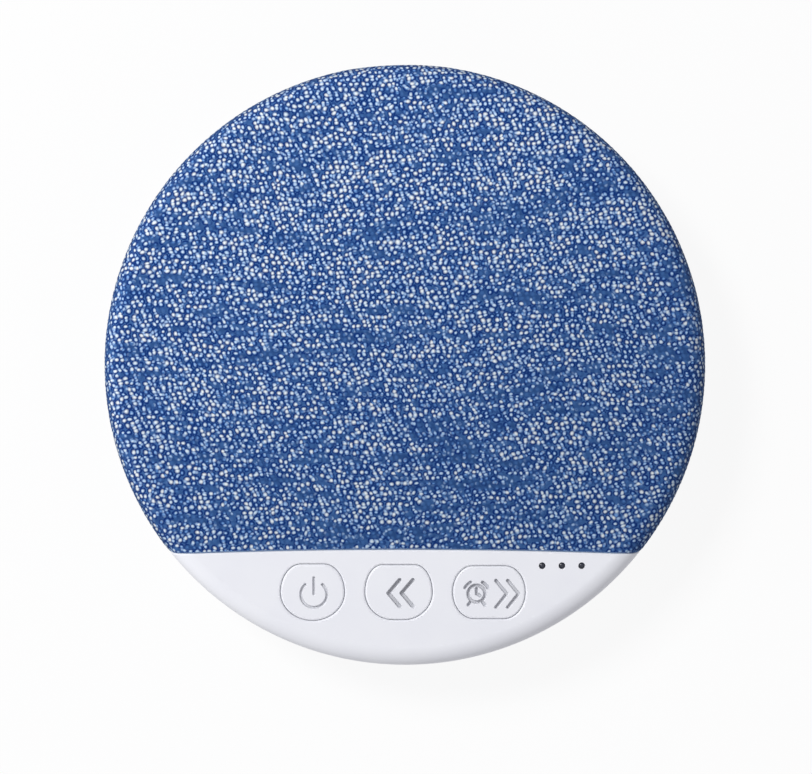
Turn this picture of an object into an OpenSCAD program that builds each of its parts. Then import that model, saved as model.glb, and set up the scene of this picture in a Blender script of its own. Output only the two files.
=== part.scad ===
// Pillow speaker: a flat round bedside speaker that lies on its back.
// +Z points out of the fabric face and +Y away from the control crescent.
// z = 0 is the underside of the base ring, under the centre of the body.

/* [Body] */
// Diameter across the body
body_d = 92; // [88:0.5:100]
// Thickness from the underside of the base ring to the face
body_t = 15; // [14.6:0.1:17]
// Height of the parting plane between the two halves of the case
parting_z = 4.2; // [4:0.1:4.4]
// Wall thickness of the moulded case
wall = 1.8; // [1.5:0.1:2]
// Radius of the rounded edge round the face
face_edge_r = 3; // [2.2:0.1:3.4]
// Radius of the rounded edge round the back
back_edge_r = 3; // [1.5:0.1:3.4]
// Width and height of the fine groove at the parting plane
groove = 0.3; // [0.2:0.05:0.5]

/* [Fabric and grille] */
// Thickness of the cloth
fabric_t = 0.5; // [0.4:0.05:0.7]
// Height of the control crescent, from the rim up to the seam
crescent_h = 18; // [17.5:0.1:20]
// Fall of the curved seam from its middle to the rim
seam_sag = 0.75; // [0.4:0.05:1.5]
// Radius of the two corners where the seam meets the rim
seam_corner_r = 2.3; // [1.5:0.1:3]
// Gap between the edge of the cloth and the crescent
seam_gap = 0.15; // [0.1:0.05:0.3]
// Thickness of the grille frame
grille_t = 1.2; // [1:0.05:1.25]
// Diameter of the sound holes in the grille frame
sound_hole_d = 3.2; // [2.4:0.1:3.6]
// Distance between neighbouring sound holes
sound_hole_pitch = 5; // [4.6:0.1:6]
// Distance between the sound holes and the edge of the driver's opening
sound_margin = 0.5; // [0.4:0.1:2]
// Distance of the snap hooks from the rim
hook_inset = 7.5; // [7:0.1:8.5]
// Width of a snap hook
hook_w = 4; // [3:0.5:5]

/* [Front shell] */
// Width of the inner ring wall under the skirt of the grille
ring_wall = 1.4; // [1.1:0.1:1.5]
// Height of the ledge that the skirt of the grille stands on
ledge_h = 1.1; // [0.9:0.1:1.2]
// Thickness of the baffle that carries the driver
baffle_t = 1.6; // [1.4:0.1:1.8]
// Thickness of the wall that follows the seam below the panel
seam_wall = 1.2; // [0.9:0.1:1.3]
// Sliding clearance between parts of the case
case_gap = 0.2; // [0.1:0.05:0.3]

/* [Keys] */
// Distance from the seam to the row of keys
key_below_seam = 6.65; // [6.3:0.05:6.9]
// Place of the power key across the body
power_x = -14.05; // [-15:0.05:-13.5]
// Width and height of the power key
power_size = [9.7, 8.55];
// Place of the back key across the body
back_x = -0.95; // [-1.5:0.05:-0.5]
// Width and height of the back key
back_size = [10.2, 8.3];
// Place of the forward key across the body
forward_x = 12.8; // [12.5:0.05:13.2]
// Width and height of the forward key
forward_size = [11, 8];
// Gap between a key and its opening
key_gap = 0.2; // [0.15:0.05:0.3]
// Width of the flange that keeps a key in the shell
key_flange = 0.6; // [0.4:0.05:0.7]
// Thickness of that flange
key_flange_t = 0.5; // [0.4:0.05:0.6]
// Travel of a key
key_travel = 0.4; // [0.2:0.05:0.45]

/* [Indicators] */
// Diameter of an indicator window
window_d = 1.07; // [0.8:0.01:1.4]
// Distance between neighbouring windows
window_pitch = 3; // [2.6:0.1:3.4]
// Place of the middle window across the body
window_x = 23.9; // [23:0.1:24.5]
// Distance from the seam to the windows
window_below_seam = 2.6; // [2.6:0.05:3]

/* [Circuit board] */
// Depth of the underside of the board below the face
board_depth = 6; // [5.9:0.05:6.1]
// Thickness of the board
board_t = 1; // [0.8:0.1:1.2]
// Gap between the board and the wall of the crescent
board_gap = 0.9; // [0.6:0.1:1.2]
// Gap between the straight edge of the board and the wall along the seam
board_edge_gap = 0.25; // [0.15:0.05:0.4]
// Side of a switch body
switch_w = 4.5; // [4:0.1:5]
// Height of a switch body above the board
switch_h = 1.6; // [1.4:0.1:1.7]
// Diameter of a switch plunger
plunger_d = 2; // [1.6:0.1:2.4]

/* [Charging socket] */
// Width of the metal shell of the socket
usb_w = 8.94; // [8.8:0.02:9.1]
// Height of the metal shell of the socket
usb_h = 3.26; // [3.1:0.02:3.3]
// Length of the metal shell of the socket
usb_l = 7.35; // [7:0.05:8]
// Wall of the metal shell of the socket
usb_wall = 0.3; // [0.25:0.05:0.35]
// Depth of the socket's mouth behind the wall of the case
usb_recess = 0.5; // [0.4:0.1:0.8]

/* [Battery] */
// Length, width and thickness of the pouch cell
cell_size = [40, 25, 4];
// Distance from the straight edge of the board to the edge of the cell
cell_margin = 0.1; // [0:0.1:1]
// Thickness of the foam tape under the cell
tape_t = 0.2; // [0.15:0.05:0.4]
// Height of the fence round the cell
fence_h = 2.6; // [2:0.1:3]

/* [Driver] */
// Distance from the centre of the body to the axis of the driver
driver_y = 12; // [11:0.5:12.5]
// Diameter of the driver's flange
driver_d = 40; // [39:0.5:41]
// Thickness of the pressed basket
basket_t = 0.8; // [0.6:0.05:0.9]
// Width of the seat that the baffle gives the driver's flange
driver_seat = 1.4; // [1.2:0.1:1.6]
// Radius of the half roll of the surround
roll_r = 1.4; // [1.2:0.05:1.5]
// Thickness of the foam gasket
gasket_t = 0.5; // [0.4:0.05:0.6]
// Diameter of the magnet cup
cup_d = 17; // [16.6:0.1:18]
// Thickness of the cup's floor and wall
cup_t = 1.2; // [1:0.05:1.3]
// Thickness of the magnet
magnet_t = 1.8; // [1.6:0.05:1.9]
// Thickness of the pole plate
pole_t = 1; // [0.9:0.05:1.1]
// Inner diameter of the voice coil
coil_d = 13; // [12.8:0.05:13.1]
// Thickness of the coil with its former
coil_t = 0.4; // [0.3:0.05:0.45]
// Travel of the diaphragm each way from rest
cone_travel = 0.5; // [0.3:0.05:0.5]

/* [Rear cover and base] */
// Thickness of the floor of the rear cover
floor_t = 1.8; // [1.6:0.1:1.9]
// Thickness of the base ring
base_t = 1.2; // [1.1:0.05:1.3]
// How far the base ring stands below the rear cover
base_proud = 0.6; // [0.5:0.05:0.7]
// Distance of the base ring from the rim
base_inset = 4.4; // [4.1:0.1:4.8]
// Width of the base ring
base_w = 7; // [6.8:0.1:8]

/* [Fasteners] */
// Diameter of the screw shanks
screw_d = 1.9; // [1.6:0.1:2]
// Diameter of the screw heads
screw_head_d = 3.6; // [3.2:0.1:3.8]
// Height of the screw heads
screw_head_h = 1.2; // [1:0.1:1.3]
// Outer diameter of the screw bosses
boss_d = 5; // [4.6:0.1:5.2]
// Clearance between a shank and its pilot hole
screw_gap = 0.05; // [0.03:0.01:0.08]

/* [Leads] */
// Diameter of the insulated leads
lead_d = 0.9; // [0.7:0.05:1]

/* [Hidden] */
$fn = 96;
// Overlap that makes a cut pass clean through a face
cut = 1;
body_r = body_d / 2;
// Gap that keeps glued parts from sharing a curved face
glue_gap = 0.05;

// Seam: a long arc that falls by seam_sag over half its width
seam_drop = body_r - crescent_h;
seam_half = sqrt(pow(body_r, 2) - pow(seam_drop, 2));
seam_r = (pow(seam_half, 2) + pow(seam_sag, 2)) / (2 * seam_sag);
seam_centre_y = -seam_drop - seam_r;
// Centre of a corner arc that touches both the rim and the seam
corner_from_axis = body_r - seam_corner_r;
corner_fall = (pow(corner_from_axis, 2) - pow(seam_r + seam_corner_r, 2) + pow(seam_centre_y, 2))
    / (-2 * seam_centre_y);
corner_x = sqrt(pow(corner_from_axis, 2) - pow(corner_fall, 2));
seam_angle = atan2(corner_x, -corner_fall - seam_centre_y);
rim_angle = atan2(-corner_fall, corner_x);

// Heights, from the face down
grille_top_z = body_t - fabric_t - glue_gap;
baffle_top_z = grille_top_z - grille_t;
baffle_z = baffle_top_z - baffle_t;
panel_z = body_t - wall;
ledge_z = parting_z + ledge_h;
shell_inner_r = body_r - wall;
skirt_outer_r = body_r - fabric_t - glue_gap;
skirt_inner_r = skirt_outer_r - grille_t;
ring_outer_r = skirt_inner_r - case_gap / 2;
ring_inner_r = ring_outer_r - ring_wall;
grille_edge_r = face_edge_r - fabric_t;

// Heights, from the base up
cover_z = base_proud;
floor_z = cover_z + floor_t;
cell_z = floor_z + tape_t;

// Board, switches, keys and windows
board_z = body_t - board_depth;
board_top_z = board_z + board_t;
board_r = shell_inner_r - board_gap;
board_drop = seam_drop + seam_gap + seam_wall + board_edge_gap;
key_drop = seam_drop + key_below_seam;
window_drop = seam_drop + window_below_seam;
flange_gap = 0.1;
flange_top_z = panel_z - flange_gap;
flange_z = flange_top_z - key_flange_t;
key_post_d = 3;
key_post_h = 0.3;
plunger_top_z = flange_z - key_post_h;
plunger_gap = 0.1;
switch_floor = 0.4;
plunger_z = board_top_z + switch_floor + key_travel + plunger_gap;
led_size = [1.6, 0.8, 0.6];
led_gap = 0.3;
light_bar_size = [8.8, 1.9, 1.2];
light_bar_rise = 0.7;

// Charging socket, hung under the board
usb_z = board_z - usb_h / 2;
usb_front_y = -body_r + usb_recess;
usb_hole_gap = 0.12;

// Driver: its flange, basket, surround and cone, from the flange in
driver_hole_r = driver_d / 2 - driver_seat;
flange_mount_z = baffle_z - gasket_t;
flange_w = 1.8;
flange_inner_r = driver_d / 2 - flange_w;
basket_h = 4.3;
basket_slope_w = 5.1;
basket_window_w = 6.6;
basket_window_edge = 0.3;
basket_floor_z = flange_mount_z - basket_h;
basket_floor_r = flange_inner_r - basket_slope_w;
gasket_w = 1;
surround_lip_w = 1.1;
surround_lip_r = driver_d / 2 - gasket_w - 2 * glue_gap;
roll_t = 0.3;
roll_centre_r = surround_lip_r - surround_lip_w - roll_r;
cone_outer_r = roll_centre_r - roll_r;
cone_t = 0.35;
cone_edge_w = 0.6;
cone_rise = 0.2;
cone_rim_z = flange_mount_z + cone_rise - cone_t;
ear_r = 2.8;
ear_circle_r = driver_d / 2 + ear_r - case_gap;
ear_angles = [90, 210, 330];

// Motor of the driver, from the rim of its cup down
cup_drop = 2.5;
cup_rim_z = flange_mount_z - cup_drop;
cup_gap = 0.1;
cup_lip_w = 0.9;
cup_lip_h = 0.5;
pole_gap = 0.3;
pole_r = coil_d / 2 - pole_gap;
magnet_z = cup_rim_z - pole_t - magnet_t;
cup_z = magnet_z - cup_t;
neck_gap = 0.25;
cone_neck_z = cup_rim_z + cone_travel + neck_gap;
coil_outer_r = coil_d / 2 + coil_t;
coil_gap = 0.4;
coil_z = magnet_z + cone_travel + coil_gap;
dust_cap_edge = 0.5;
dust_cap_h = 1.5;
dust_cap_t = 0.25;
terminal_size = [8, 3, 0.8];
terminal_out = 1.2;
terminal_z = flange_mount_z - basket_t - terminal_size[2];

// Base ring, snap hooks and sound holes
base_outer_r = body_r - base_inset;
hook_circle_r = body_r - hook_inset;
hook_above_seam = 3.2;
hook_t = 1;
hook_root = 0.5;
hook_catch = 0.45;
hook_below = 1.2;
sound_field_r = driver_hole_r - sound_hole_d / 2 - sound_margin;

// Screws of the case, on the middle of the base ring, and of the driver's ears
case_screw_r = base_outer_r - base_w / 2;
case_screw_places = [for (angle = [45, 135, 210, 330]) case_screw_r * [cos(angle), sin(angle)]];
case_head_z = cover_z + 1.1;
case_joint_z = floor_z + 1.7;
case_screw_l = 7;
ear_screw_l = 1.7;
pilot_r = screw_d / 2 + screw_gap;
tower_d = screw_head_d + 1.8;
boss_rib_t = 1;
boss_rib_h = 3.4;

// Screws of the board, measured up from the rim
board_screw_places = [[-24, 13 - body_r], [22, 11.4 - body_r], [7, 5.8 - body_r]];
board_screw_l = 2.7;

// The cell lies between the straight edge of the board and the driver
cell_drop = board_drop - cell_margin - cell_size[1] / 2;
pouch_edge_r = 1.2;
seal_l = 3.6;
seal_t = 0.8;
seal_inset = 0.6;
protector_w = 3;
protector_t = 1;
protector_end_inset = 0.2;
protector_side_inset = 2;
protector_chip = [1.8, 5, 0.8];
tape_end_inset = 2;
tape_seal_inset = 4;
tape_side_inset = 3;

// Fence round the cell, and the lip inside the front shell
fence_side = 5;
fence_gap = 0.4;
fence_t = 1;
lip_t = 1.2;

// Plug connectors of the leads, under the board and near its straight edge
header_size = [4.2, 4.4, 3.2];
plug_size = [3.2, 3.4, 2.4];
header_wall = 1;
plug_gap = 0.1;
plug_out = 1.3;
lead_gap = 1.25;
connector_z = board_z - header_size[2] / 2;
battery_header_x = 13.6;
battery_header_y = -board_drop - 0.9 - header_size[0] / 2;
speaker_header_x = -5.6;
speaker_header_y = -board_drop - 1.5 - header_size[1] / 2;

// Chips and other parts under the board, each at its distance across and below the straight edge
sound_chip_place = [-13.4, -board_drop - 3.7];
memory_chip_place = [-19.2, -board_drop - 2.6];
amplifier_chip_place = [4.6, -board_drop - 3.6];
charger_chip_place = [13.2, -board_drop - 7.3];
crystal_place = [-13.4, -board_drop - 7.8];
inductor_place = [9.6, -board_drop - 5];
capacitor_spots = [
    [-7.6, 7.6], [-7.6, 9.4], [-9.4, 4], [-9.4, 5.6], [0.6, 2.8], [0.6, 4.4], [16.6, 7], [-17.6, 7]
];
capacitor_places = [for (spot = capacitor_spots) [spot[0], -board_drop - spot[1]]];
sound_chip_size = [5, 5, 0.9];
memory_chip_size = [2.6, 4, 1.2];
amplifier_chip_size = [3.9, 4.9, 1.5];
charger_chip_size = [3, 3, 0.9];
crystal_size = [3.2, 2.5, 0.8];
capacitor_size = [1.6, 0.8, 0.8];
inductor_size = [3.2, 3.2, 1.6];
inductor_cap_h = 0.4;
leg_size = [0.8, 0.4, 0.5];
leg_pitch = 1.27;

// Routes of the leads, by hand between the plugs and the parts that they feed
battery_lead_start = [battery_header_x + header_size[1] / 2 + plug_out, battery_header_y, connector_z];
battery_lead_end = [cell_size[0] / 2, -cell_drop - 3, cell_z + cell_size[2] / 2 + 0.5];
speaker_lead_start = [speaker_header_x, speaker_header_y + header_size[1] / 2 + plug_out, connector_z];
speaker_lead_end = [0, driver_y - driver_d / 2 + 0.4, terminal_z];

// Half lengths of the flat stretch above and below each key
power_flats = [1.7, 0];
back_flats = [2.5, 0.8];
forward_flats = [2.45, 2.2];
oval_steps = 72;

// Plan of a key: four quarters of ellipses, joined by a flat stretch above and one below
function oval(size, flats, grow) = [
    for (i = [0 : oval_steps - 1])
        let (
            angle = 360 * (i + 0.5) / oval_steps, flat = angle < 180 ? flats[0] : flats[1],
            reach = size[0] / 2 + grow - flat
        )
        [sign(cos(angle)) * flat + reach * cos(angle), (size[1] / 2 + grow) * sin(angle)]
];

// Points of an arc about a centre, from one angle to another
function arc(centre, r, from, to, steps) = [
    for (i = [0 : steps])
        let (angle = from + (to - from) * i / steps)
        centre + r * [cos(angle), sin(angle)]
];

// Right half of the seam's outline, moved out from the cloth by grow, from the middle to beyond the rim
function seam_half_outline(grow) = concat(
    [for (i = [0 : 11]) let (angle = seam_angle * i / 12)
        [(seam_r - grow) * sin(angle), seam_centre_y + (seam_r - grow) * cos(angle)]],
    arc([corner_x, -corner_fall], seam_corner_r + grow, -90 - seam_angle, rim_angle, 10),
    [[corner_x, -corner_fall] + (seam_corner_r + grow) * [cos(rim_angle), sin(rim_angle)]
        + 8 * [-sin(rim_angle), cos(rim_angle)]]
);
function mirrored(points) = [for (i = [len(points) - 1 : -1 : 1]) [-points[i][0], points[i][1]]];

// Everything on the cloth's side of the seam, moved out by grow
module cloth_side(grow) {
    right = seam_half_outline(grow);
    far = body_d;
    around = [[far, -corner_fall], [far, far], [-far, far], [-far, -corner_fall]];
    polygon(concat(mirrored(right), right, around));
}

// Everything on the keys' side of the seam, moved away from the cloth by grow
module key_side(grow) {
    difference() {
        square(3 * body_d, center = true);
        cloth_side(grow);
    }
}

// A ring of square section
module tube(outer_r, inner_r, low, high) {
    translate([0, 0, low]) difference() {
        cylinder(h = high - low, r = outer_r);
        translate([0, 0, -cut]) cylinder(h = high - low + 2 * cut, r = inner_r);
    }
}

// Half profile of a disc with a rounded upper edge, from the axis out
module rounded_top(r, low, high, edge_r) {
    translate([0, low]) square([r - edge_r, high - low]);
    translate([0, low]) square([r, high - low - edge_r]);
    translate([r - edge_r, high - edge_r]) intersection() {
        circle(edge_r);
        square(edge_r + cut);
    }
}

// Half profile of a disc with a rounded lower edge
module rounded_bottom(r, low, high, edge_r) {
    translate([0, low]) square([r - edge_r, high - low]);
    translate([0, low + edge_r]) square([r, high - low - edge_r]);
    translate([r - edge_r, low + edge_r]) intersection() {
        circle(edge_r);
        translate([0, -edge_r - cut]) square(edge_r + cut);
    }
}

// Pan-head screw with its head down and a cross recess
module screw(head_z, length) {
    difference() {
        translate([0, 0, head_z]) cylinder(h = screw_head_h, r = screw_head_d / 2);
        for (turn = [0, 90]) rotate([0, 0, turn])
            translate([-screw_head_d / 3, -0.25, head_z - cut]) cube([screw_head_d / 1.5, 0.5, cut + 0.5]);
    }
    translate([0, 0, head_z + screw_head_h]) cylinder(h = length, r = screw_d / 2);
}

module at_keys() {
    translate([power_x, -key_drop]) children(0);
    translate([back_x, -key_drop]) children(1);
    translate([forward_x, -key_drop]) children(2);
}

module at_places(places) {
    for (place = places) translate(place) children();
}

module at_ears() {
    translate([0, driver_y, 0]) for (angle = ear_angles)
        rotate([0, 0, angle]) translate([ear_circle_r, 0, 0]) children();
}

// Directions of the snap hooks, clear of the screw bosses
hook_angles = [8, 68, 112, 172, 232, 308];

module at_hooks() {
    for (angle = hook_angles) rotate([0, 0, angle]) {
        reach = angle > 180 ? (seam_drop - hook_above_seam) / abs(sin(angle)) : hook_circle_r;
        translate([reach, 0, 0]) rotate([0, 0, angle > 180 ? 270 - angle : 0]) children();
    }
}

module window_places() {
    for (i = [-1 : 1]) translate([window_x + i * window_pitch, -window_drop, 0]) children();
}

module front_shell() color("white") {
    difference() {
        union() {
            // The crescent: panel and outer wall, with the rounded edge
            intersection() {
                rotate_extrude() difference() {
                    rounded_top(body_r, parting_z, body_t, face_edge_r);
                    translate([0, parting_z - cut])
                        rounded_top(shell_inner_r, 0, panel_z - parting_z + cut, face_edge_r - wall);
                }
                translate([0, 0, ledge_z]) linear_extrude(body_t) key_side(seam_gap);
            }
            // The rim that the grille and the rear cover meet
            tube(body_r, ring_inner_r, parting_z, ledge_z);
            // Under the cloth: ring wall and baffle, rounded like the inside of the grille
            intersection() {
                rotate_extrude() difference() {
                    rounded_top(ring_outer_r, parting_z, baffle_top_z, grille_edge_r - grille_t);
                    translate([0, parting_z - cut]) square([ring_inner_r, baffle_z - parting_z + cut]);
                }
                translate([0, 0, parting_z]) linear_extrude(body_t) cloth_side(seam_gap + seam_wall / 2);
            }
            // Wall along the seam, from the baffle up to the panel
            intersection() {
                translate([0, 0, baffle_z])
                    cylinder(h = panel_z + wall / 2 - baffle_z, r = shell_inner_r + wall / 2);
                translate([0, 0, baffle_z]) linear_extrude(body_t) difference() {
                    cloth_side(seam_gap + seam_wall);
                    cloth_side(seam_gap);
                }
            }
            // Bosses of the case screws, each with a rib out to the ring wall
            for (place = case_screw_places) {
                translate([place[0], place[1], case_joint_z])
                    cylinder(h = baffle_z - case_joint_z + cut / 2, r = boss_d / 2);
                rotate([0, 0, atan2(place[1], place[0])])
                    translate([norm(place), -boss_rib_t / 2, baffle_z - boss_rib_h])
                        cube([ring_inner_r - norm(place) + cut / 2, boss_rib_t, boss_rib_h + 0.2]);
            }
            // Bosses of the board screws, down to the board
            at_places(board_screw_places)
                translate([0, 0, board_top_z])
                    cylinder(h = panel_z - board_top_z + cut / 2, r = boss_d / 2 - 0.4);
            // Raised ring that centres the driver, and the bosses of its ears
            translate([0, driver_y, 0])
                tube(driver_d / 2 + case_gap + 1, driver_d / 2 + case_gap, baffle_z - 1, baffle_z + cut / 2);
            at_ears() translate([0, 0, flange_mount_z]) cylinder(h = gasket_t + cut / 2, r = ear_r - 0.4);
        }
        // Opening for the driver
        translate([0, driver_y, baffle_z - cut]) cylinder(h = baffle_t + 2 * cut, r = driver_hole_r);
        // Room for the driver's ears in the centring ring
        difference() {
            at_ears() translate([0, 0, baffle_z - 3]) {
                cylinder(h = 3, r = ear_r + case_gap);
                translate([-ear_r - 1, -ear_r - case_gap, 0]) cube([ear_r + 1, 2 * (ear_r + case_gap), 3]);
            }
            at_ears() translate([0, 0, flange_mount_z]) cylinder(h = 3, r = ear_r - 0.4);
        }
        // Key openings and windows
        translate([0, 0, panel_z - cut]) linear_extrude(wall + 2 * cut) at_keys() {
            polygon(oval(power_size, power_flats, key_gap));
            polygon(oval(back_size, back_flats, key_gap));
            polygon(oval(forward_size, forward_flats, key_gap));
        }
        window_places() translate([0, 0, panel_z - cut])
            cylinder(h = wall + 2 * cut, r = window_d / 2 + glue_gap);
        // Pilot holes
        at_places(case_screw_places)
            translate([0, 0, case_joint_z - cut]) cylinder(h = case_screw_l + cut, r = pilot_r);
        at_places(board_screw_places)
            translate([0, 0, board_top_z - cut]) cylinder(h = board_screw_l + 0.2 + cut, r = pilot_r);
        at_ears() translate([0, 0, flange_mount_z - cut]) cylinder(h = ear_screw_l + 0.2 + cut, r = pilot_r);
        // Slots for the snap hooks
        at_hooks() translate([-1.1, -hook_w / 2 - case_gap, baffle_z - cut])
            cube([2.3, hook_w + 2 * case_gap, baffle_t + 2 * cut]);
        // Mouth of the charging socket
        translate([0, usb_front_y - 2 * cut, usb_z]) rotate([-90, 0, 0])
            usb_outline(usb_hole_gap, wall + 3 * cut);
    }
}

// Stadium of the charging socket, grown by a gap and drawn out to a length
module usb_outline(grow, length) {
    r = usb_h / 2 + grow;
    side = usb_w / 2 - usb_h / 2;
    for (x = [-side, side]) translate([x, 0, 0]) cylinder(h = length, r = r);
    translate([-side, -r, 0]) cube([2 * side, 2 * r, length]);
}

module grille_fabric() color("steelblue") {
    intersection() {
        rotate_extrude() difference() {
            rounded_top(body_r, ledge_z + glue_gap, body_t, face_edge_r);
            translate([0, ledge_z - cut])
                rounded_top(body_r - fabric_t, 0, body_t - fabric_t - ledge_z + cut, grille_edge_r);
        }
        translate([0, 0, ledge_z]) linear_extrude(body_t) cloth_side(0);
    }
    // The turned-down edge along the seam
    intersection() {
        translate([0, 0, baffle_top_z + 0.3])
            cylinder(h = body_t - fabric_t / 2 - baffle_top_z - 0.3, r = body_r - fabric_t - face_edge_r);
        linear_extrude(body_t) difference() {
            cloth_side(0);
            cloth_side(-fabric_t);
        }
    }
}

module grille_frame() color("dimgray") {
    difference() {
        intersection() {
            rotate_extrude() difference() {
                rounded_top(skirt_outer_r, ledge_z + glue_gap, grille_top_z, grille_edge_r);
                translate([0, ledge_z - cut])
                    rounded_top(skirt_inner_r, 0, baffle_top_z - ledge_z + cut, grille_edge_r - grille_t);
            }
            translate([0, 0, ledge_z]) linear_extrude(body_t) cloth_side(-fabric_t - glue_gap);
        }
        // Sound holes on a triangular grid over the driver
        row_h = sound_hole_pitch * sqrt(3) / 2;
        rows = floor(sound_field_r / row_h);
        for (row = [-rows : rows], step = [-8 : 8]) {
            x = sound_hole_pitch * (step + (row % 2 == 0 ? 0 : 0.5));
            y = row * row_h;
            if (norm([x, y]) <= sound_field_r)
                translate([x, driver_y + y, baffle_top_z - cut])
                    cylinder(h = grille_t + 2 * cut, r = sound_hole_d / 2, $fn = 24);
        }
    }
    // Snap hooks that pass through the baffle and catch under it
    at_hooks() translate([-hook_root, 0, 0]) rotate([90, 0, 0]) linear_extrude(hook_w, center = true)
        polygon([
            [0, baffle_top_z + 0.2], [0, baffle_z - hook_below], [hook_t - 0.1, baffle_z - hook_below],
            [hook_t + hook_catch, baffle_z - glue_gap], [hook_t, baffle_z - glue_gap],
            [hook_t, baffle_top_z + 0.2]
        ]);
}

module rear_cover() color("whitesmoke") {
    difference() {
        union() {
            rotate_extrude() difference() {
                rounded_bottom(body_r, cover_z, parting_z, back_edge_r);
                translate([0, floor_z]) rounded_bottom(shell_inner_r, 0, parting_z, back_edge_r - wall + 0.4);
                translate([body_r - groove, parting_z - groove]) square(groove + cut);
            }
            // Lip that centres the front shell
            tube(ring_inner_r - case_gap, ring_inner_r - case_gap - lip_t, floor_z - cut / 2, ledge_z - 0.1);
            // Towers of the case screws
            at_places(case_screw_places)
                translate([0, 0, floor_z - cut / 2])
                    cylinder(h = case_joint_z - floor_z + cut / 2, r = tower_d / 2);
            // Fence round the cell, one corner at each end of its sides
            translate([0, -cell_drop, floor_z - cut / 2]) for (mx = [0, 1], my = [0, 1])
                mirror([mx, 0, 0]) mirror([0, my, 0]) difference() {
                    inner = fence_side + fence_gap;
                    outer = inner + fence_t;
                    translate([cell_size[0] / 2 - fence_side, cell_size[1] / 2 - fence_side, 0])
                        cube([outer, outer, fence_h + cut / 2]);
                    translate([cell_size[0] / 2 - fence_side - cut, cell_size[1] / 2 - fence_side - cut, 0])
                        cube([inner + cut, inner + cut, fence_h + cut]);
                }
        }
        // Recess for the base ring
        translate([0, 0, -cut])
            tube(base_outer_r + glue_gap, base_outer_r - base_w - glue_gap, 0, base_t + cut);
        // Counterbores and holes of the case screws
        at_places(case_screw_places) {
            translate([0, 0, cover_z - cut])
                cylinder(h = case_head_z + screw_head_h - cover_z + cut, r = screw_head_d / 2 + 0.2);
            translate([0, 0, cover_z]) cylinder(h = case_joint_z, r = screw_d / 2 + 0.15);
        }
    }
}

module base_ring() color("gray") {
    difference() {
        tube(base_outer_r, base_outer_r - base_w, 0, base_t);
        // Two fine grooves that help it grip
        for (share = [1 / 3, 2 / 3]) translate([0, 0, -cut])
            tube(base_outer_r - base_w * share + 0.3, base_outer_r - base_w * share - 0.3, 0, cut + 0.25);
    }
}

module case_screws() color("silver")
    at_places(case_screw_places)
        screw(case_head_z, case_joint_z + case_screw_l - case_head_z - screw_head_h - 0.5);

// A key: cap, flange below the panel and post on the switch
module key(x, size, flats) {
    translate([x, -key_drop, 0]) {
        translate([0, 0, flange_z]) linear_extrude(body_t - flange_z) polygon(oval(size, flats, 0));
        translate([0, 0, flange_z]) linear_extrude(key_flange_t) polygon(oval(size, flats, key_flange));
        translate([0, 0, plunger_top_z]) cylinder(h = key_post_h + key_flange_t / 2, r = key_post_d / 2);
    }
}

module plunger(x) {
    translate([x, -key_drop, plunger_z]) cylinder(h = plunger_top_z - plunger_z, r = plunger_d / 2);
}

module power_button() color("white") key(power_x, power_size, power_flats);
module back_button() color("white") key(back_x, back_size, back_flats);
module forward_button() color("white") key(forward_x, forward_size, forward_flats);
module power_plunger() color("black") plunger(power_x);
module back_plunger() color("black") plunger(back_x);
module forward_plunger() color("black") plunger(forward_x);

module switch_bodies() color("gainsboro") {
    for (x = [power_x, back_x, forward_x]) translate([x, -key_drop, board_top_z]) difference() {
        translate([-switch_w / 2, -switch_w / 2, 0]) cube([switch_w, switch_w, switch_h]);
        translate([0, 0, switch_floor]) cylinder(h = switch_h, r = plunger_d / 2 + 0.1);
    }
}

module main_board() color("darkgreen") {
    difference() {
        translate([0, 0, board_z]) linear_extrude(board_t) intersection() {
            circle(board_r);
            translate([-body_r, -body_r]) square([body_d, body_r - board_drop]);
        }
        at_places(board_screw_places)
            translate([0, 0, board_z - cut]) cylinder(h = board_t + 2 * cut, r = screw_d / 2 + 0.2);
    }
}

module board_screws() color("silver")
    at_places(board_screw_places) screw(board_z - screw_head_h, board_t + board_screw_l);

module indicator_leds() color("ivory")
    window_places() translate([-led_size[0] / 2, -led_size[1] / 2, board_top_z]) cube(led_size);

module light_guide() color("midnightblue") {
    pin_z = board_top_z + led_size[2] + led_gap;
    window_places() translate([0, 0, pin_z]) cylinder(h = body_t - pin_z, r = window_d / 2);
    translate([
        window_x - light_bar_size[0] / 2, light_bar_rise - light_bar_size[1] - window_drop,
        panel_z - light_bar_size[2]
    ]) cube(light_bar_size);
}

module usb_socket() color("silver") {
    translate([0, usb_front_y, usb_z]) rotate([-90, 0, 0]) difference() {
        usb_outline(0, usb_l);
        translate([0, 0, -cut]) usb_outline(-usb_wall, usb_l - 0.5 + cut);
    }
}

module usb_tongue() color("black") {
    translate([-3.35, usb_front_y + 1, usb_z - 0.35]) cube([6.7, usb_l - 1.5, 0.7]);
}

// A chip under the board
module chip(place, size) {
    translate([place[0] - size[0] / 2, place[1] - size[1] / 2, board_z - size[2]]) cube(size);
}

// Gull-wing legs along two sides of a chip, from its flanks to the board
module legs(place, size, count) {
    for (side = [-1, 1], i = [0 : count - 1])
        translate([
            place[0] + side * (size[0] + leg_size[0]) / 2 - leg_size[0] / 2,
            place[1] + (i - (count - 1) / 2) * leg_pitch - leg_size[1] / 2, board_z - leg_size[2]
        ]) cube(leg_size);
}

module sound_chip() color("black") chip(sound_chip_place, sound_chip_size);
module memory_chip() color("black") {
    chip(memory_chip_place, memory_chip_size);
    legs(memory_chip_place, memory_chip_size, 3);
}
module amplifier_chip() color("black") {
    chip(amplifier_chip_place, amplifier_chip_size);
    legs(amplifier_chip_place, amplifier_chip_size, 4);
}
module charger_chip() color("black") chip(charger_chip_place, charger_chip_size);
module crystal() color("silver") chip(crystal_place, crystal_size);

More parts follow.
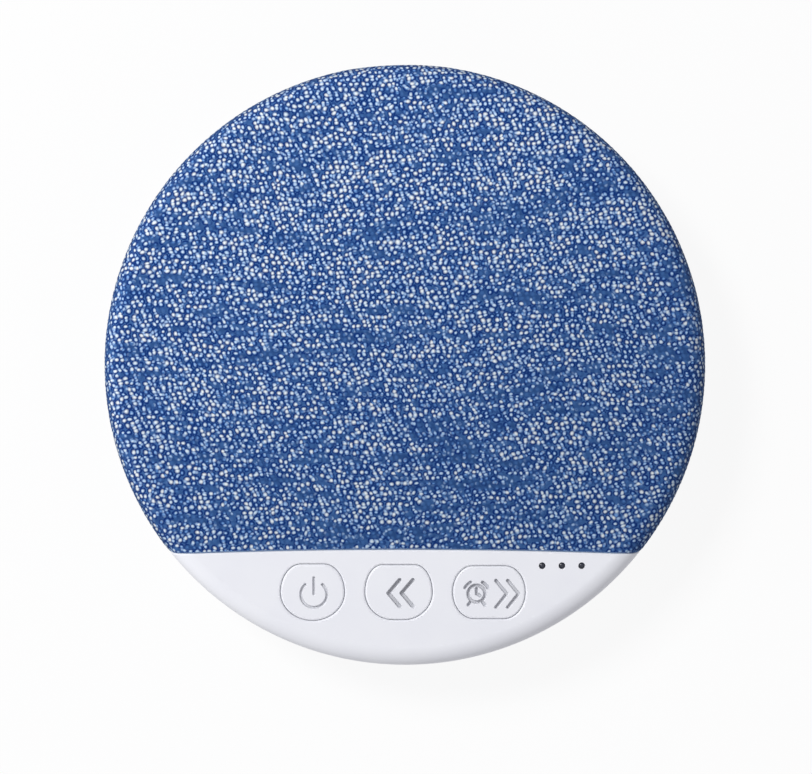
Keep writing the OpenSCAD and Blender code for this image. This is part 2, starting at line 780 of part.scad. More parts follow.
// A drum of wire under a square cap of ferrite that is soldered to the board
module power_inductor() color("dimgray") {
    chip(inductor_place, [inductor_size[0], inductor_size[1], inductor_cap_h]);
    translate([inductor_place[0], inductor_place[1], board_z - inductor_size[2]])
        cylinder(h = inductor_size[2] - inductor_cap_h / 2, r = inductor_size[0] / 2 - 0.1);
}

module board_capacitors() color("tan") {
    for (place = capacitor_places) chip(place, capacitor_size);
}

module battery() color("silver") {
    edge = pouch_edge_r;
    half_w = cell_size[1] / 2;
    translate([-cell_size[0] / 2, -cell_drop, cell_z]) {
        // The filled pouch, with rounded long edges
        rotate([90, 0, 90]) linear_extrude(cell_size[0] - seal_l + 0.2) {
            translate([-half_w + edge, 0]) square([cell_size[1] - 2 * edge, cell_size[2]]);
            translate([-half_w, edge]) square([cell_size[1], cell_size[2] - 2 * edge]);
            for (y = [-half_w + edge, half_w - edge], z = [edge, cell_size[2] - edge])
                translate([y, z]) circle(edge, $fn = 48);
        }
        // The sealed end that the protector lies on
        translate([cell_size[0] - seal_l, -half_w + seal_inset, 0])
            cube([seal_l, cell_size[1] - 2 * seal_inset, seal_t]);
    }
}

module battery_protector() color("darkgreen") {
    length = cell_size[1] - 2 * protector_side_inset;
    board_x = cell_size[0] / 2 - protector_end_inset - protector_w;
    chip_x = board_x + (protector_w - protector_chip[0]) / 2;
    translate([board_x, -cell_drop - length / 2, cell_z + seal_t]) cube([protector_w, length, protector_t]);
    translate([chip_x, -cell_drop - 2, cell_z + seal_t + protector_t]) cube(protector_chip);
}

module battery_tape() color("ivory")
    translate([tape_end_inset - cell_size[0] / 2, tape_side_inset - cell_size[1] / 2 - cell_drop, floor_z])
        cube([
            cell_size[0] - tape_end_inset - tape_seal_inset, cell_size[1] - 2 * tape_side_inset, tape_t
        ]);

// A board header seen from its mouth, which faces +X before it is turned
module header_form() {
    difference() {
        translate([-header_size[1] / 2, -header_size[0] / 2, -header_size[2] / 2])
            cube([header_size[1], header_size[0], header_size[2]]);
        mouth_w = plug_size[0] + 2 * glue_gap;
        mouth_h = plug_size[2] + 2 * glue_gap;
        translate([header_wall - header_size[1] / 2, -mouth_w / 2, -mouth_h / 2])
            cube([header_size[1], mouth_w, mouth_h]);
    }
}

module plug_form() {
    plug_start = header_wall + plug_gap - header_size[1] / 2;
    translate([plug_start, -plug_size[0] / 2, -plug_size[2] / 2])
        cube([header_size[1] / 2 + plug_out - plug_start, plug_size[0], plug_size[2]]);
}

module battery_header() color("ivory")
    translate([battery_header_x, battery_header_y, connector_z]) header_form();
module battery_plug() color("white")
    translate([battery_header_x, battery_header_y, connector_z]) plug_form();
module speaker_header() color("ivory")
    translate([speaker_header_x, speaker_header_y, connector_z]) rotate([0, 0, 90]) header_form();
module speaker_plug() color("white")
    translate([speaker_header_x, speaker_header_y, connector_z]) rotate([0, 0, 90]) plug_form();

// Smooth curve through the points of a route, with a few steps in each stretch
lead_steps = 3;
function route_at(route, i) = route[max(0, min(len(route) - 1, i))];
function between(a, b, c, d, t) = 0.5 * (
    2 * b + (c - a) * t + (2 * a - 5 * b + 4 * c - d) * t * t + (3 * b - a - 3 * c + d) * t * t * t
);
function smooth(route) = concat(
    [for (i = [0 : len(route) - 2], k = [0 : lead_steps - 1])
        between(route_at(route, i - 1), route[i], route[i + 1], route_at(route, i + 2), k / lead_steps)],
    [route[len(route) - 1]]
);
function heading(points, i) = let (way = points[i + 1] - points[i - 1]) way / norm(way);

// A round lead swept along a smooth route, whose side is never parallel to the flat axis given
module lead(route, flat) {
    sides = 8;
    points = smooth(route);
    rings = len(points);
    stops = len(route);
    first_way = (route[1] - route[0]) / norm(route[1] - route[0]);
    last_way = (route[stops - 1] - route[stops - 2]) / norm(route[stops - 1] - route[stops - 2]);
    skin = [
        for (i = [0 : rings - 1])
            let (
                along = i == 0 ? first_way : i == rings - 1 ? last_way : heading(points, i),
                out = cross(along, flat) / norm(cross(along, flat)), up = cross(out, along)
            )
            for (k = [0 : sides - 1])
                points[i] + lead_d / 2 * (cos(360 * k / sides) * out + sin(360 * k / sides) * up)
    ];
    walls = [
        for (i = [0 : rings - 2], k = [0 : sides - 1])
            let (a = i * sides + k, b = i * sides + (k + 1) % sides)
            each [[a, b, a + sides], [b, b + sides, a + sides]]
    ];
    first = [for (k = [1 : sides - 2]) [0, k + 1, k]];
    last = [for (k = [1 : sides - 2]) (rings - 1) * sides * [1, 1, 1] + [0, k, k + 1]];
    polyhedron(skin, concat(walls, first, last));
}

module battery_lead(shift) {
    start = battery_lead_start + [0, -shift, 0];
    end = battery_lead_end + [0, shift, 0];
    lead([
        start, start + [1.6, 0, 0], [start[0] + 4.2 + shift, start[1] + 2.2, start[2] - 0.5],
        [end[0] + 3.6 + shift, end[1] - 3.6, end[2] + 0.6], end + [1.7 + shift, 0, 0], end
    ], [0, 0, 1]);
}

module battery_lead_red() color("red") battery_lead(lead_gap / 2);
module battery_lead_black() color("black") battery_lead(-lead_gap / 2);

module speaker_lead(shift) {
    start = speaker_lead_start + [shift, 0, 0];
    end = speaker_lead_end + [shift * 2.6, 0, 0];
    lead([
        start, start + [0, 1.6, 0], [start[0] + 0.6, start[1] + 8, start[2] + 0.2],
        [end[0] - 1, end[1] - 6, start[2] + 0.3], end + [0, -2.2, -0.9],
        end + [0, -0.6, -0.5], end + [0, 0.6, -0.5]
    ], [1, 0, 0]);
}

module speaker_lead_red() color("red") speaker_lead(lead_gap / 2);
module speaker_lead_black() color("black") speaker_lead(-lead_gap / 2);

module speaker_basket() color("silver") {
    translate([0, driver_y, 0]) difference() {
        union() {
            rotate_extrude() polygon([
                [driver_d / 2, flange_mount_z], [driver_d / 2, flange_mount_z - basket_t],
                [flange_inner_r, flange_mount_z - basket_t], [basket_floor_r, basket_floor_z],
                [cup_d / 2 + cup_gap, basket_floor_z], [cup_d / 2 + cup_gap, basket_floor_z + basket_t],
                [basket_floor_r - basket_t / 2, basket_floor_z + basket_t],
                [flange_inner_r - basket_t * 3 / 4, flange_mount_z]
            ]);
            for (angle = ear_angles) rotate([0, 0, angle]) translate([0, 0, flange_mount_z - basket_t]) {
                translate([ear_circle_r, 0, 0]) cylinder(h = basket_t, r = ear_r);
                translate([driver_d / 2 - 1, -ear_r, 0])
                    cube([ear_circle_r - driver_d / 2 + 1, 2 * ear_r, basket_t]);
            }
        }
        // Windows in the sloping wall
        for (i = [0 : 5]) rotate([0, 0, 60 * i + 30])
            translate([basket_floor_r + basket_window_edge, -basket_window_w / 2, basket_floor_z - cut])
                cube([
                    basket_slope_w - 2 * basket_window_edge - basket_t, basket_window_w,
                    basket_h - basket_t + cut
                ]);
        // Holes of the ears
        for (angle = ear_angles) rotate([0, 0, angle])
            translate([ear_circle_r, 0, flange_mount_z - basket_t - cut])
                cylinder(h = basket_t + 2 * cut, r = screw_d / 2 + 0.15);
    }
}

module speaker_gasket() color("dimgray")
    translate([0, driver_y, 0]) tube(driver_d / 2, driver_d / 2 - gasket_w, flange_mount_z, baffle_z);

module speaker_screws() color("silver")
    at_ears() screw(flange_mount_z - basket_t - screw_head_h, basket_t + ear_screw_l);

module magnet_cup() color("lightgray") {
    translate([0, driver_y, 0]) rotate_extrude() difference() {
        union() {
            translate([0, cup_z]) square([cup_d / 2, cup_rim_z - cup_z]);
            translate([0, basket_floor_z + basket_t]) square([cup_d / 2 + cup_lip_w, cup_lip_h]);
        }
        translate([-cut, magnet_z]) square([cup_d / 2 - cup_t + cut, cup_rim_z]);
    }
}

module speaker_magnet() color("gainsboro")
    translate([0, driver_y, magnet_z]) cylinder(h = magnet_t, r = pole_r);
module pole_plate() color("silver")
    translate([0, driver_y, magnet_z + magnet_t]) cylinder(h = pole_t, r = pole_r);
module voice_coil() color("peru")
    translate([0, driver_y, 0]) tube(coil_outer_r, coil_d / 2, coil_z, cone_neck_z + cone_t);

module speaker_cone() color("dimgray") {
    translate([0, driver_y, 0]) rotate_extrude() polygon([
        [coil_outer_r, cone_neck_z], [cone_outer_r - cone_edge_w, cone_rim_z], [cone_outer_r, cone_rim_z],
        [cone_outer_r, cone_rim_z + cone_t], [cone_outer_r - cone_edge_w, cone_rim_z + cone_t],
        [coil_outer_r, cone_neck_z + cone_t]
    ]);
}

module speaker_surround() color("black") {
    foot_z = cone_rim_z + cone_t + glue_gap;
    translate([0, driver_y, 0]) rotate_extrude() {
        translate([roll_centre_r, foot_z]) intersection() {
            difference() {
                circle(roll_r, $fn = 64);
                circle(roll_r - roll_t, $fn = 64);
            }
            translate([-roll_r - cut, 0]) square([2 * roll_r + 2 * cut, roll_r + cut]);
        }
        translate([cone_outer_r - cone_edge_w, foot_z]) square([cone_edge_w + roll_t / 2, roll_t]);
        translate([roll_centre_r + roll_r - roll_t, flange_mount_z])
            square([surround_lip_w + roll_t, foot_z - flange_mount_z + roll_t / 3]);
    }
}

module dust_cap() color("dimgray") {
    cap_r = coil_outer_r + dust_cap_edge;
    dome_r = (pow(cap_r, 2) + pow(dust_cap_h, 2)) / (2 * dust_cap_h);
    cap_z = cone_neck_z + cone_t + glue_gap
        + dust_cap_edge * (cone_rim_z - cone_neck_z) / (cone_outer_r - cone_edge_w - coil_outer_r);
    translate([0, driver_y, cap_z]) rotate_extrude() intersection() {
        translate([0, dust_cap_h - dome_r]) difference() {
            circle(dome_r);
            circle(dome_r - dust_cap_t);
        }
        square([dome_r, dust_cap_h + cut]);
    }
}

module terminal_board() color("darkgoldenrod")
    translate([-terminal_size[0] / 2, driver_y - driver_d / 2 - terminal_out, terminal_z])
        cube(terminal_size);

front_shell();
grille_frame();
grille_fabric();
rear_cover();
base_ring();
case_screws();
power_button();
back_button();
forward_button();
power_plunger();
back_plunger();
forward_plunger();
switch_bodies();
main_board();
board_screws();
indicator_leds();
light_guide();
usb_socket();
usb_tongue();
sound_chip();
memory_chip();
amplifier_chip();
charger_chip();
crystal();
power_inductor();
board_capacitors();
battery();
battery_protector();
battery_tape();
battery_header();
battery_plug();
battery_lead_red();
battery_lead_black();
speaker_header();
speaker_plug();
speaker_lead_red();
speaker_lead_black();
speaker_basket();
speaker_gasket();
speaker_screws();
magnet_cup();
speaker_magnet();
pole_plate();
voice_coil();
speaker_cone();
speaker_surround();
dust_cap();
terminal_board();
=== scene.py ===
"""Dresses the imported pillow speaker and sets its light, floor and camera.

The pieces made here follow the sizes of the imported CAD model. Lengths are millimetres where a class
doesn't say otherwise, and are turned into metres where a mesh is made.
"""

import logging
from collections.abc import Sequence
from dataclasses import dataclass, field
from enum import Enum

import bpy
import numpy as np
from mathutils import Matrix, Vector
from mathutils.geometry import delaunay_2d_cdt

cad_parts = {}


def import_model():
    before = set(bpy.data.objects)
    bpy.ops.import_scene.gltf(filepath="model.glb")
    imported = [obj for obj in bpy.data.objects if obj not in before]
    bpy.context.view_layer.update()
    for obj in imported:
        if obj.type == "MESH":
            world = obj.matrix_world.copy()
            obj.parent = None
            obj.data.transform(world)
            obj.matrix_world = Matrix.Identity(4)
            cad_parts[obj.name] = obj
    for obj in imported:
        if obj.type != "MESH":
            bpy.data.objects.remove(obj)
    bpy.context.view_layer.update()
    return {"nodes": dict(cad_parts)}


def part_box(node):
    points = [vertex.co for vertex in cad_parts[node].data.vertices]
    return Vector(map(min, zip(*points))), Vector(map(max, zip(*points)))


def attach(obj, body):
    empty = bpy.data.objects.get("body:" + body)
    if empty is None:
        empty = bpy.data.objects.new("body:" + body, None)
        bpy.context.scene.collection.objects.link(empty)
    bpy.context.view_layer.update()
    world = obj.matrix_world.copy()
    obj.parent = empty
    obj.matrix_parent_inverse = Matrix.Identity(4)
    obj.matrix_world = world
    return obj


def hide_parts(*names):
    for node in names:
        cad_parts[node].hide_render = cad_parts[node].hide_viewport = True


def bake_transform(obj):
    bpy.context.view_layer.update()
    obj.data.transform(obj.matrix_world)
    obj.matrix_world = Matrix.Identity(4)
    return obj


Array = np.ndarray
Triple = tuple[float, float, float]
Pair = tuple[float, float]
Socket = bpy.types.NodeSocket
MM = 0.001
UP = (0.0, 0.0, 1.0)
DOWN = (0.0, 0.0, -1.0)
QUARTER = np.pi / 2
WINDOW_PLACES: tuple[Pair, ...] = ((20.9, -30.6), (23.9, -30.6), (26.9, -30.6))
LOG = logging.getLogger("pillow_speaker")


def linear(red: float, green: float, blue: float) -> tuple[float, float, float, float]:
    """Turns a colour as the eye reads it, 0 to 255, into the renderer's linear colour."""
    shares = np.array([red, green, blue]) / 255
    bright = ((shares + 0.055) / 1.055) ** 2.4
    return (*np.where(shares <= 0.04045, shares / 12.92, bright).tolist(), 1.0)


# Mesh helpers


def rays(turns: Array | float) -> Array:
    """Unit vectors in the plan at angles in radians."""
    return np.stack([np.cos(turns), np.sin(turns)], axis=-1)


def lifted(plan: Array, height: Array | float) -> Array:
    """Points in plan with a height each, or sideways directions with a part upwards."""
    return np.column_stack([plan, np.broadcast_to(height, len(plan))])


def unit(vectors: Array) -> Array:
    """Scales vectors to length one."""
    return vectors / np.maximum(np.linalg.norm(vectors, axis=-1, keepdims=True), 1e-12)


def loop_sides(loop: Array) -> Array:
    """Unit vectors in the plane that point to the right of a closed loop's way, from its neighbours."""
    way = unit(np.roll(loop, -1, axis=0) - np.roll(loop, 1, axis=0))
    return np.stack([way[:, 1], -way[:, 0]], axis=1)


def loop_area(loop: Array) -> float:
    """Area inside a loop, above zero for a counter-clockwise one."""
    x, y = loop.T
    return float(np.sum(x * np.roll(y, -1) - y * np.roll(x, -1))) / 2


def nearest(points: Array, loop: Array) -> Array:
    """Distance from points to the nearest corner of a loop, worked out in blocks."""
    blocks = np.array_split(points, len(points) // 4000 + 1)
    return np.concatenate([np.linalg.norm(block[:, None] - loop, axis=2).min(axis=1) for block in blocks])


def inside(points: Array, loop: Array) -> Array:
    """Says which points lie inside a closed loop.

    Args:
        points: Points in the plane.
        loop: Corners of the loop.

    Returns:
        True where a line to the right crosses the loop an odd number of times.
    """
    x, y = points[:, 0, None], points[:, 1, None]
    start, end = loop, np.roll(loop, -1, axis=0)
    spans = (start[:, 1] > y) != (end[:, 1] > y)
    rise = np.where(end[:, 1] == start[:, 1], 1.0, end[:, 1] - start[:, 1])
    crossing = start[:, 0] + (y - start[:, 1]) * (end[:, 0] - start[:, 0]) / rise
    return (spans & (x < crossing)).sum(axis=1) % 2 == 1


def resampled(line: Array, step: float, closed: bool = True) -> Array:
    """Places points along a line at even distances of about one step.

    Args:
        line: Corners of the line.
        step: Distance wanted between two points.
        closed: Whether the line returns to its start.

    Returns:
        The new points, without the start repeated at the end when closed.
    """
    corners = np.vstack([line, line[:1]]) if closed else line
    along = np.concatenate([[0], np.cumsum(np.linalg.norm(np.diff(corners, axis=0), axis=1))])
    at = np.linspace(0, along[-1], max(3, round(along[-1] / step)) + 1)
    points = np.stack([np.interp(at, along, corners[:, i]) for i in (0, 1)], axis=1)
    return points[:-1] if closed else points


def circle_points(centre: Sequence[float], radius: float, count: int = 48) -> Array:
    """Points of a circle, counter-clockwise."""
    return np.array(centre) + radius * rays(np.linspace(0, 2 * np.pi, count + 1)[:-1])


def polar_grid(turns: Array, reaches: Array) -> Array:
    """Points at every one of some angles in radians and distances from the middle."""
    return (reaches[:, None, None] * rays(turns)).reshape(-1, 2)


def ring_sector(outer: float, inner: float, start: float, end: float, centre: Pair = (0, 0)) -> Array:
    """Outline of a part of a ring from one angle to another in degrees, counter-clockwise."""
    arc = rays(np.radians(np.linspace(start, end, max(8, round((end - start) / 3)))))
    return np.array(centre) + np.vstack([outer * arc, inner * arc[::-1]])


def number_ranges(loops: Sequence[Array]) -> list[Array]:
    """Vertex numbers of loops that stand one after the other."""
    starts = np.cumsum([0] + [len(loop) for loop in loops])
    return [np.arange(start, end) for start, end in zip(starts[:-1], starts[1:])]


def strip_faces(rings: Sequence[Array]) -> Array:
    """Joins closed rings of vertices with quads.

    Args:
        rings: Vertex numbers of each ring, all rings of one length.

    Returns:
        Quads whose front is on the right of a ring's way when the next ring is below it.
    """
    rings = np.array(rings)
    nexts = np.roll(rings, -1, axis=1)
    return np.stack([rings[:-1], rings[1:], nexts[1:], nexts[:-1]], axis=-1).reshape(-1, 4)


def triangles_between(points: Array, outer: Array, holes: Sequence[Array]) -> tuple[Array, Array]:
    """Fills the region between loops with triangles.

    Args:
        points: All vertices, the loops' own vertices among them.
        outer: Numbers of the outer loop's vertices, counter-clockwise.
        holes: Numbers of each hole's vertices.

    Returns:
        The vertices kept and the triangles, counter-clockwise, as numbers into them.
    """
    edges = [pair for loop in (outer, *holes) for pair in zip(loop.tolist(), np.roll(loop, -1).tolist())]
    kept, _, faces, *_ = delaunay_2d_cdt([Vector(p) for p in points.tolist()], edges, [], 0, 1e-7, False)
    places = np.array([tuple(p) for p in kept])
    triangles = np.array(faces)
    middles = places[triangles].mean(axis=1)
    good = inside(middles, points[outer])
    for hole in holes:
        good &= ~inside(middles, points[hole])
    triangles = triangles[good]
    first, second, third = (places[triangles[:, i]] for i in range(3))
    clockwise = np.cross(second - first, third - first) < 0
    triangles[clockwise] = triangles[clockwise][:, ::-1]
    return places, triangles


@dataclass
class MeshBuilder:
    """Collects vertices, normals, weave coordinates and faces, and makes the mesh object."""

    points: list[Array] = field(default_factory=list)
    normals: list[Array] = field(default_factory=list)
    weave: list[Array] = field(default_factory=list)
    faces: list[Array] = field(default_factory=list)
    count: int = 0

    def add(self, points: Array, normals: Array | Triple, weave: Array | None = None) -> Array:
        """Adds vertices.

        Args:
            points: Places in millimetres.
            normals: Directions that the surface faces there, or one for all.
            weave: Coordinates in the cloth's weave, if any.

        Returns:
            The vertices' numbers.
        """
        numbers = np.arange(self.count, self.count + len(points))
        self.points.append(points)
        self.normals.append(np.broadcast_to(normals, points.shape))
        self.weave.append(np.zeros((len(points), 2)) if weave is None else weave)
        self.count += len(points)
        return numbers

    def add_rings(self, rows: Sequence[tuple]) -> list[Array]:
        """Adds closed rings of vertices and the quads between them.

        Args:
            rows: Plan, height and normals of each ring, and its weave coordinates if any.

        Returns:
            Vertex numbers of each ring.
        """
        rings = [self.add(lifted(plan, height), *rest) for plan, height, *rest in rows]
        self.faces.append(strip_faces(rings))
        return rings

    def add_fan(self, ring: Array, tip: Sequence[float], way: int = 1) -> None:
        """Closes a ring with triangles.

        Args:
            ring: Vertex numbers of the ring, counter-clockwise.
            tip: Place of the corner that all triangles share.
            way: 1 for a fan that faces up, -1 for one that faces down.
        """
        corner = self.add(np.array([tip]), UP if way > 0 else DOWN)
        first, second = (ring, np.roll(ring, -1))[::way]
        self.faces.append(np.column_stack([np.full(len(ring), corner), first, second]))

    def add_plate(self, outline: Array, holes: Sequence[Array], low: float, high: float) -> None:
        """Adds a closed plate: a plan region with straight walls between two heights.

        Args:
            outline: Outer loop, counter-clockwise.
            holes: Loops of the holes, counter-clockwise.
            low: Height of the underside.
            high: Height of the top.
        """
        # Steps that single precision holds exactly, so that the faces meet the walls
        loops = [np.round(loop * 4096) / 4096 for loop in (outline, *(hole[::-1] for hole in holes))]
        numbers = number_ranges(loops)
        points, triangles = triangles_between(np.vstack(loops), numbers[0], numbers[1:])
        self.faces.append(self.add(lifted(points, high), UP)[triangles])
        self.faces.append(self.add(lifted(points, low), DOWN)[triangles[:, ::-1]])
        for loop in loops:
            facing = lifted(loop_sides(loop), 0.0)
            self.add_rings([(loop, high, facing), (loop, low, facing)])

    def build(self, name: str) -> bpy.types.Object:
        """Makes the object from what was collected.

        Vertices at one place become one, and each corner of a face keeps the normal and the weave
        coordinates it was given, so that hard edges stay closed.

        Args:
            name: Name of the piece.

        Returns:
            The new object, at the origin, with exact normals.
        """
        points = np.concatenate(self.points)
        _, first, weld = np.unique(np.round(points, 5), axis=0, return_index=True, return_inverse=True)
        weld = weld.ravel()
        faces = [part for block in self.faces for part in self.without_doubles(block, weld)]
        corners = np.concatenate([block.ravel() for block in faces])
        sizes = np.concatenate([np.full(len(block), block.shape[1]) for block in faces])
        mesh = bpy.data.meshes.new(name)
        mesh.vertices.add(len(first))
        mesh.vertices.foreach_set("co", (points[first] * MM).ravel())
        mesh.loops.add(len(corners))
        mesh.loops.foreach_set("vertex_index", weld[corners])
        mesh.polygons.add(len(sizes))
        mesh.polygons.foreach_set("loop_start", np.concatenate([[0], np.cumsum(sizes)[:-1]]))
        mesh.update(calc_edges=True)
        mesh.shade_smooth()
        layer = mesh.uv_layers.new(name="weave")
        layer.data.foreach_set("uv", np.concatenate(self.weave)[corners].ravel())
        mesh.normals_split_custom_set(unit(np.concatenate(self.normals))[corners].tolist())
        piece = bpy.data.objects.new(name, mesh)
        bpy.context.scene.collection.objects.link(piece)
        return piece

    def without_doubles(self, block: Array, weld: Array) -> list[Array]:
        """Splits faces into those with all corners apart and quads that are really triangles.

        Args:
            block: Faces of one size.
            weld: Number of each vertex's place.

        Returns:
            Blocks of faces. Those without any area are left out.
        """
        twice = weld[block] == weld[np.roll(block, -1, axis=1)]
        doubles = twice.sum(axis=1)
        parts = [block[doubles == 0]]
        if block.shape[1] == 4:
            parts.append(block[doubles == 1][~twice[doubles == 1]].reshape(-1, 3))
        return [part for part in parts if len(part)]


# The case's outer skin and the seam


@dataclass(frozen=True)
class CaseSkin:
    """Outside of the round case, rolled out flat along its meridians."""

    radius: float = 46.0
    top: float = 15.0
    edge_radius: float = 3.0
    ledge: float = 5.3
    parting: float = 4.2
    wall: float = 1.8

    @property
    def flat_radius(self) -> float:
        """Radius at which the flat face ends."""
        return self.radius - self.edge_radius

    @property
    def wall_reach(self) -> float:
        """Distance from the middle, along the skin, at which the straight wall starts."""
        return self.flat_radius + self.edge_radius * QUARTER

    def reach(self, height: Array | float) -> Array | float:
        """Distance from the middle, along the skin, of a height on the straight wall."""
        return self.wall_reach + self.top - self.edge_radius - height

    def place(self, plan: Array, depth: Array | float = 0.0) -> tuple[Array, Array]:
        """Puts points of the rolled-out skin on the case.

        A point keeps its bearing. Up to the flat's radius it stays where it is. Over the rounding
        it goes along a quarter of a circle, and beyond that straight down the wall.

        Args:
            plan: Points of the rolled-out skin.
            depth: How far each point lies under the skin.

        Returns:
            Places on the case and the skin's normals there.
        """
        distance = np.linalg.norm(plan, axis=-1)
        bearing = plan / np.maximum(distance, 1e-9)[..., None]
        turn = np.clip((distance - self.flat_radius) / self.edge_radius, 0, QUARTER)
        fall = np.maximum(distance - self.wall_reach, 0)
        across = np.minimum(distance, self.flat_radius) + (self.edge_radius - depth) * np.sin(turn)
        height = self.top - self.edge_radius + (self.edge_radius - depth) * np.cos(turn) - fall
        points = np.concatenate([bearing * across[..., None], height[..., None]], axis=-1)
        normals = np.concatenate([bearing * np.sin(turn)[..., None], np.cos(turn)[..., None]], axis=-1)
        return points, normals

    def sideways(self, plan: Array, side: Array) -> Array:
        """Directions on the case that go with directions in the rolled-out skin."""
        return unit(self.place(plan + 1e-4 * side)[0] - self.place(plan)[0])


@dataclass(frozen=True)
class Seam:
    """Curve between the cloth and the moulded crescent, with its rounded ends."""

    drop: float = 28.0
    sag: float = 0.75
    half_width: float = 36.5
    corner_radius: float = 2.3
    gap: float = 0.15
    foot_radius: float = 0.7
    skin: CaseSkin = CaseSkin()

    def half(self, grow: float) -> Array:
        """Right half of the curve in plan, from the middle out past the rim.

        A wide arc falls by the sag over its half width, a small arc turns it up until it touches
        the rim, and from there it runs straight on.

        Args:
            grow: How far the curve is moved away from the cloth.

        Returns:
            Points of the curve.
        """
        wide = (self.half_width**2 + self.sag**2) / (2 * self.sag)
        middle = -self.drop - wide
        rim = self.skin.radius - self.corner_radius
        # The corner's centre lies a corner radius inside both the wide arc and the rim
        reach = wide + self.corner_radius
        height = (rim**2 - reach**2 + middle**2) / (2 * middle)
        centre = np.array([np.sqrt(rim**2 - height**2), height])
        start = np.arctan2(centre[0], centre[1] - middle)
        arc = (0, middle) + (wide - grow) * rays(np.linspace(0, start, 120))[:, ::-1]
        end = np.arctan2(centre[1], centre[0])
        corner = centre + (self.corner_radius + grow) * rays(np.linspace(-QUARTER - start, end, 40))
        return np.vstack([arc[:-1], corner, corner[-1] + 8 * rays(end + QUARTER)])

    def side(self, grow: float, radius: float) -> Array:
        """Right half of the curve, as far as it lies within a radius."""
        half = resampled(self.half(grow), 0.25, closed=False)
        return half[np.linalg.norm(half, axis=1) < radius]

    def region(self, grow: float, radius: float) -> Array:
        """Outline in plan of the cloth's side within a radius.

        Args:
            grow: How far the seam is moved away from the cloth.
            radius: Radius at which the outline goes round the back.

        Returns:
            Points of the outline, counter-clockwise.
        """
        half = self.side(grow, radius)
        start = np.arctan2(half[-1, 1], half[-1, 0])
        arc = radius * rays(np.linspace(start, np.pi - start, 160)[1:-1])
        return np.vstack([half, arc, half[:0:-1] * (-1, 1)])

    def band(self, near: float, far: float, radius: float) -> Array:
        """Outline in plan of the strip between two distances from the cloth, counter-clockwise."""
        upper, lower = self.side(near, radius), self.side(far, radius)
        return np.vstack([lower, upper[::-1], upper[1:] * (-1, 1), lower[:0:-1] * (-1, 1)])

    def opening(self, grow: float, height: float) -> Array:
        """Outline of the cloth's side in the rolled-out skin, counter-clockwise.

        The curve is followed to the rim's radius. There it leaves the plan, goes straight down the
        wall, turns in a quarter of a circle and returns round the back of the case.

        Args:
            grow: How far the curve is moved away from the cloth.
            height: Height on the wall at which the outline goes round.

        Returns:
            Points of the outline.
        """
        skin = self.skin
        dense = resampled(self.half(grow), 0.02, closed=False)
        distance = np.linalg.norm(dense, axis=1)
        last = int(np.argmax(distance >= skin.radius))
        dense, distance = dense[:last], distance[:last]
        turn = np.arcsin(np.clip((distance - skin.flat_radius) / skin.edge_radius, 0, 1))
        along = np.where(turn > 0, skin.flat_radius + skin.edge_radius * turn, distance)
        rolled = dense * (along / distance)[:, None]
        bearing = np.arctan2(dense[-1, 1], dense[-1, 0])
        reach = skin.reach(height)
        bend = np.linspace(0, QUARTER, 13)
        away = reach - self.foot_radius * (1 - np.sin(bend))
        turns = bearing + self.foot_radius * (1 - np.cos(bend)) / away
        right = np.vstack([rolled, rays(bearing) * skin.wall_reach, away[:, None] * rays(turns)])
        back = reach * rays(np.linspace(turns[-1], np.pi - turns[-1], 800)[1:-1])
        return np.vstack([right, back, right[:0:-1] * (-1, 1)])


def rounded_steps(radius: float, count: int = 4) -> list[tuple[float, float, float]]:
    """Offsets, depths and angles of a quarter-round edge that reaches one radius to the side."""
    turns = np.linspace(0, QUARTER, count + 1)[1:]
    return [(radius * np.sin(t), radius * (1 - np.cos(t)), t) for t in turns.tolist()]


def add_edge(
    builder: MeshBuilder, skin: CaseSkin, loop: Array, numbers: Array, side: Array,
    steps: Sequence[tuple[float, Array | float, float]], straight: bool = False,
) -> Array:
    """Adds the strip that turns a skin over its edge and inwards.

    Each ring of the strip is the loop moved sideways by an offset and sunk by a depth. Its normals
    turn from the skin's own to the sideways direction by the given angle.

    Args:
        builder: Receives the vertices and faces.
        skin: The surface that the loop lies on.
        loop: The loop in the rolled-out skin, with the region on its left.
        numbers: The loop's vertices, already added.
        side: Sideways directions, away from the region.
        steps: Offset, depth and normal's angle for each ring.
        straight: Whether the rings below the rounding keep its last width, as a straight hole does.

    Returns:
        Vertex numbers of the last ring.
    """
    rings = [numbers]
    flank = skin.sideways(loop, side)
    edge = None
    for offset, depth, angle in steps:
        points, normals = skin.place(loop + offset * side, depth)
        if straight:
            edge = points if edge is None or angle < QUARTER else edge
            points[:, [0, 2]] = edge[:, [0, 2]]
        rings.append(builder.add(points, np.cos(angle) * normals + np.sin(angle) * flank))
    builder.faces.append(strip_faces(rings))
    return rings[-1]


# Finishes


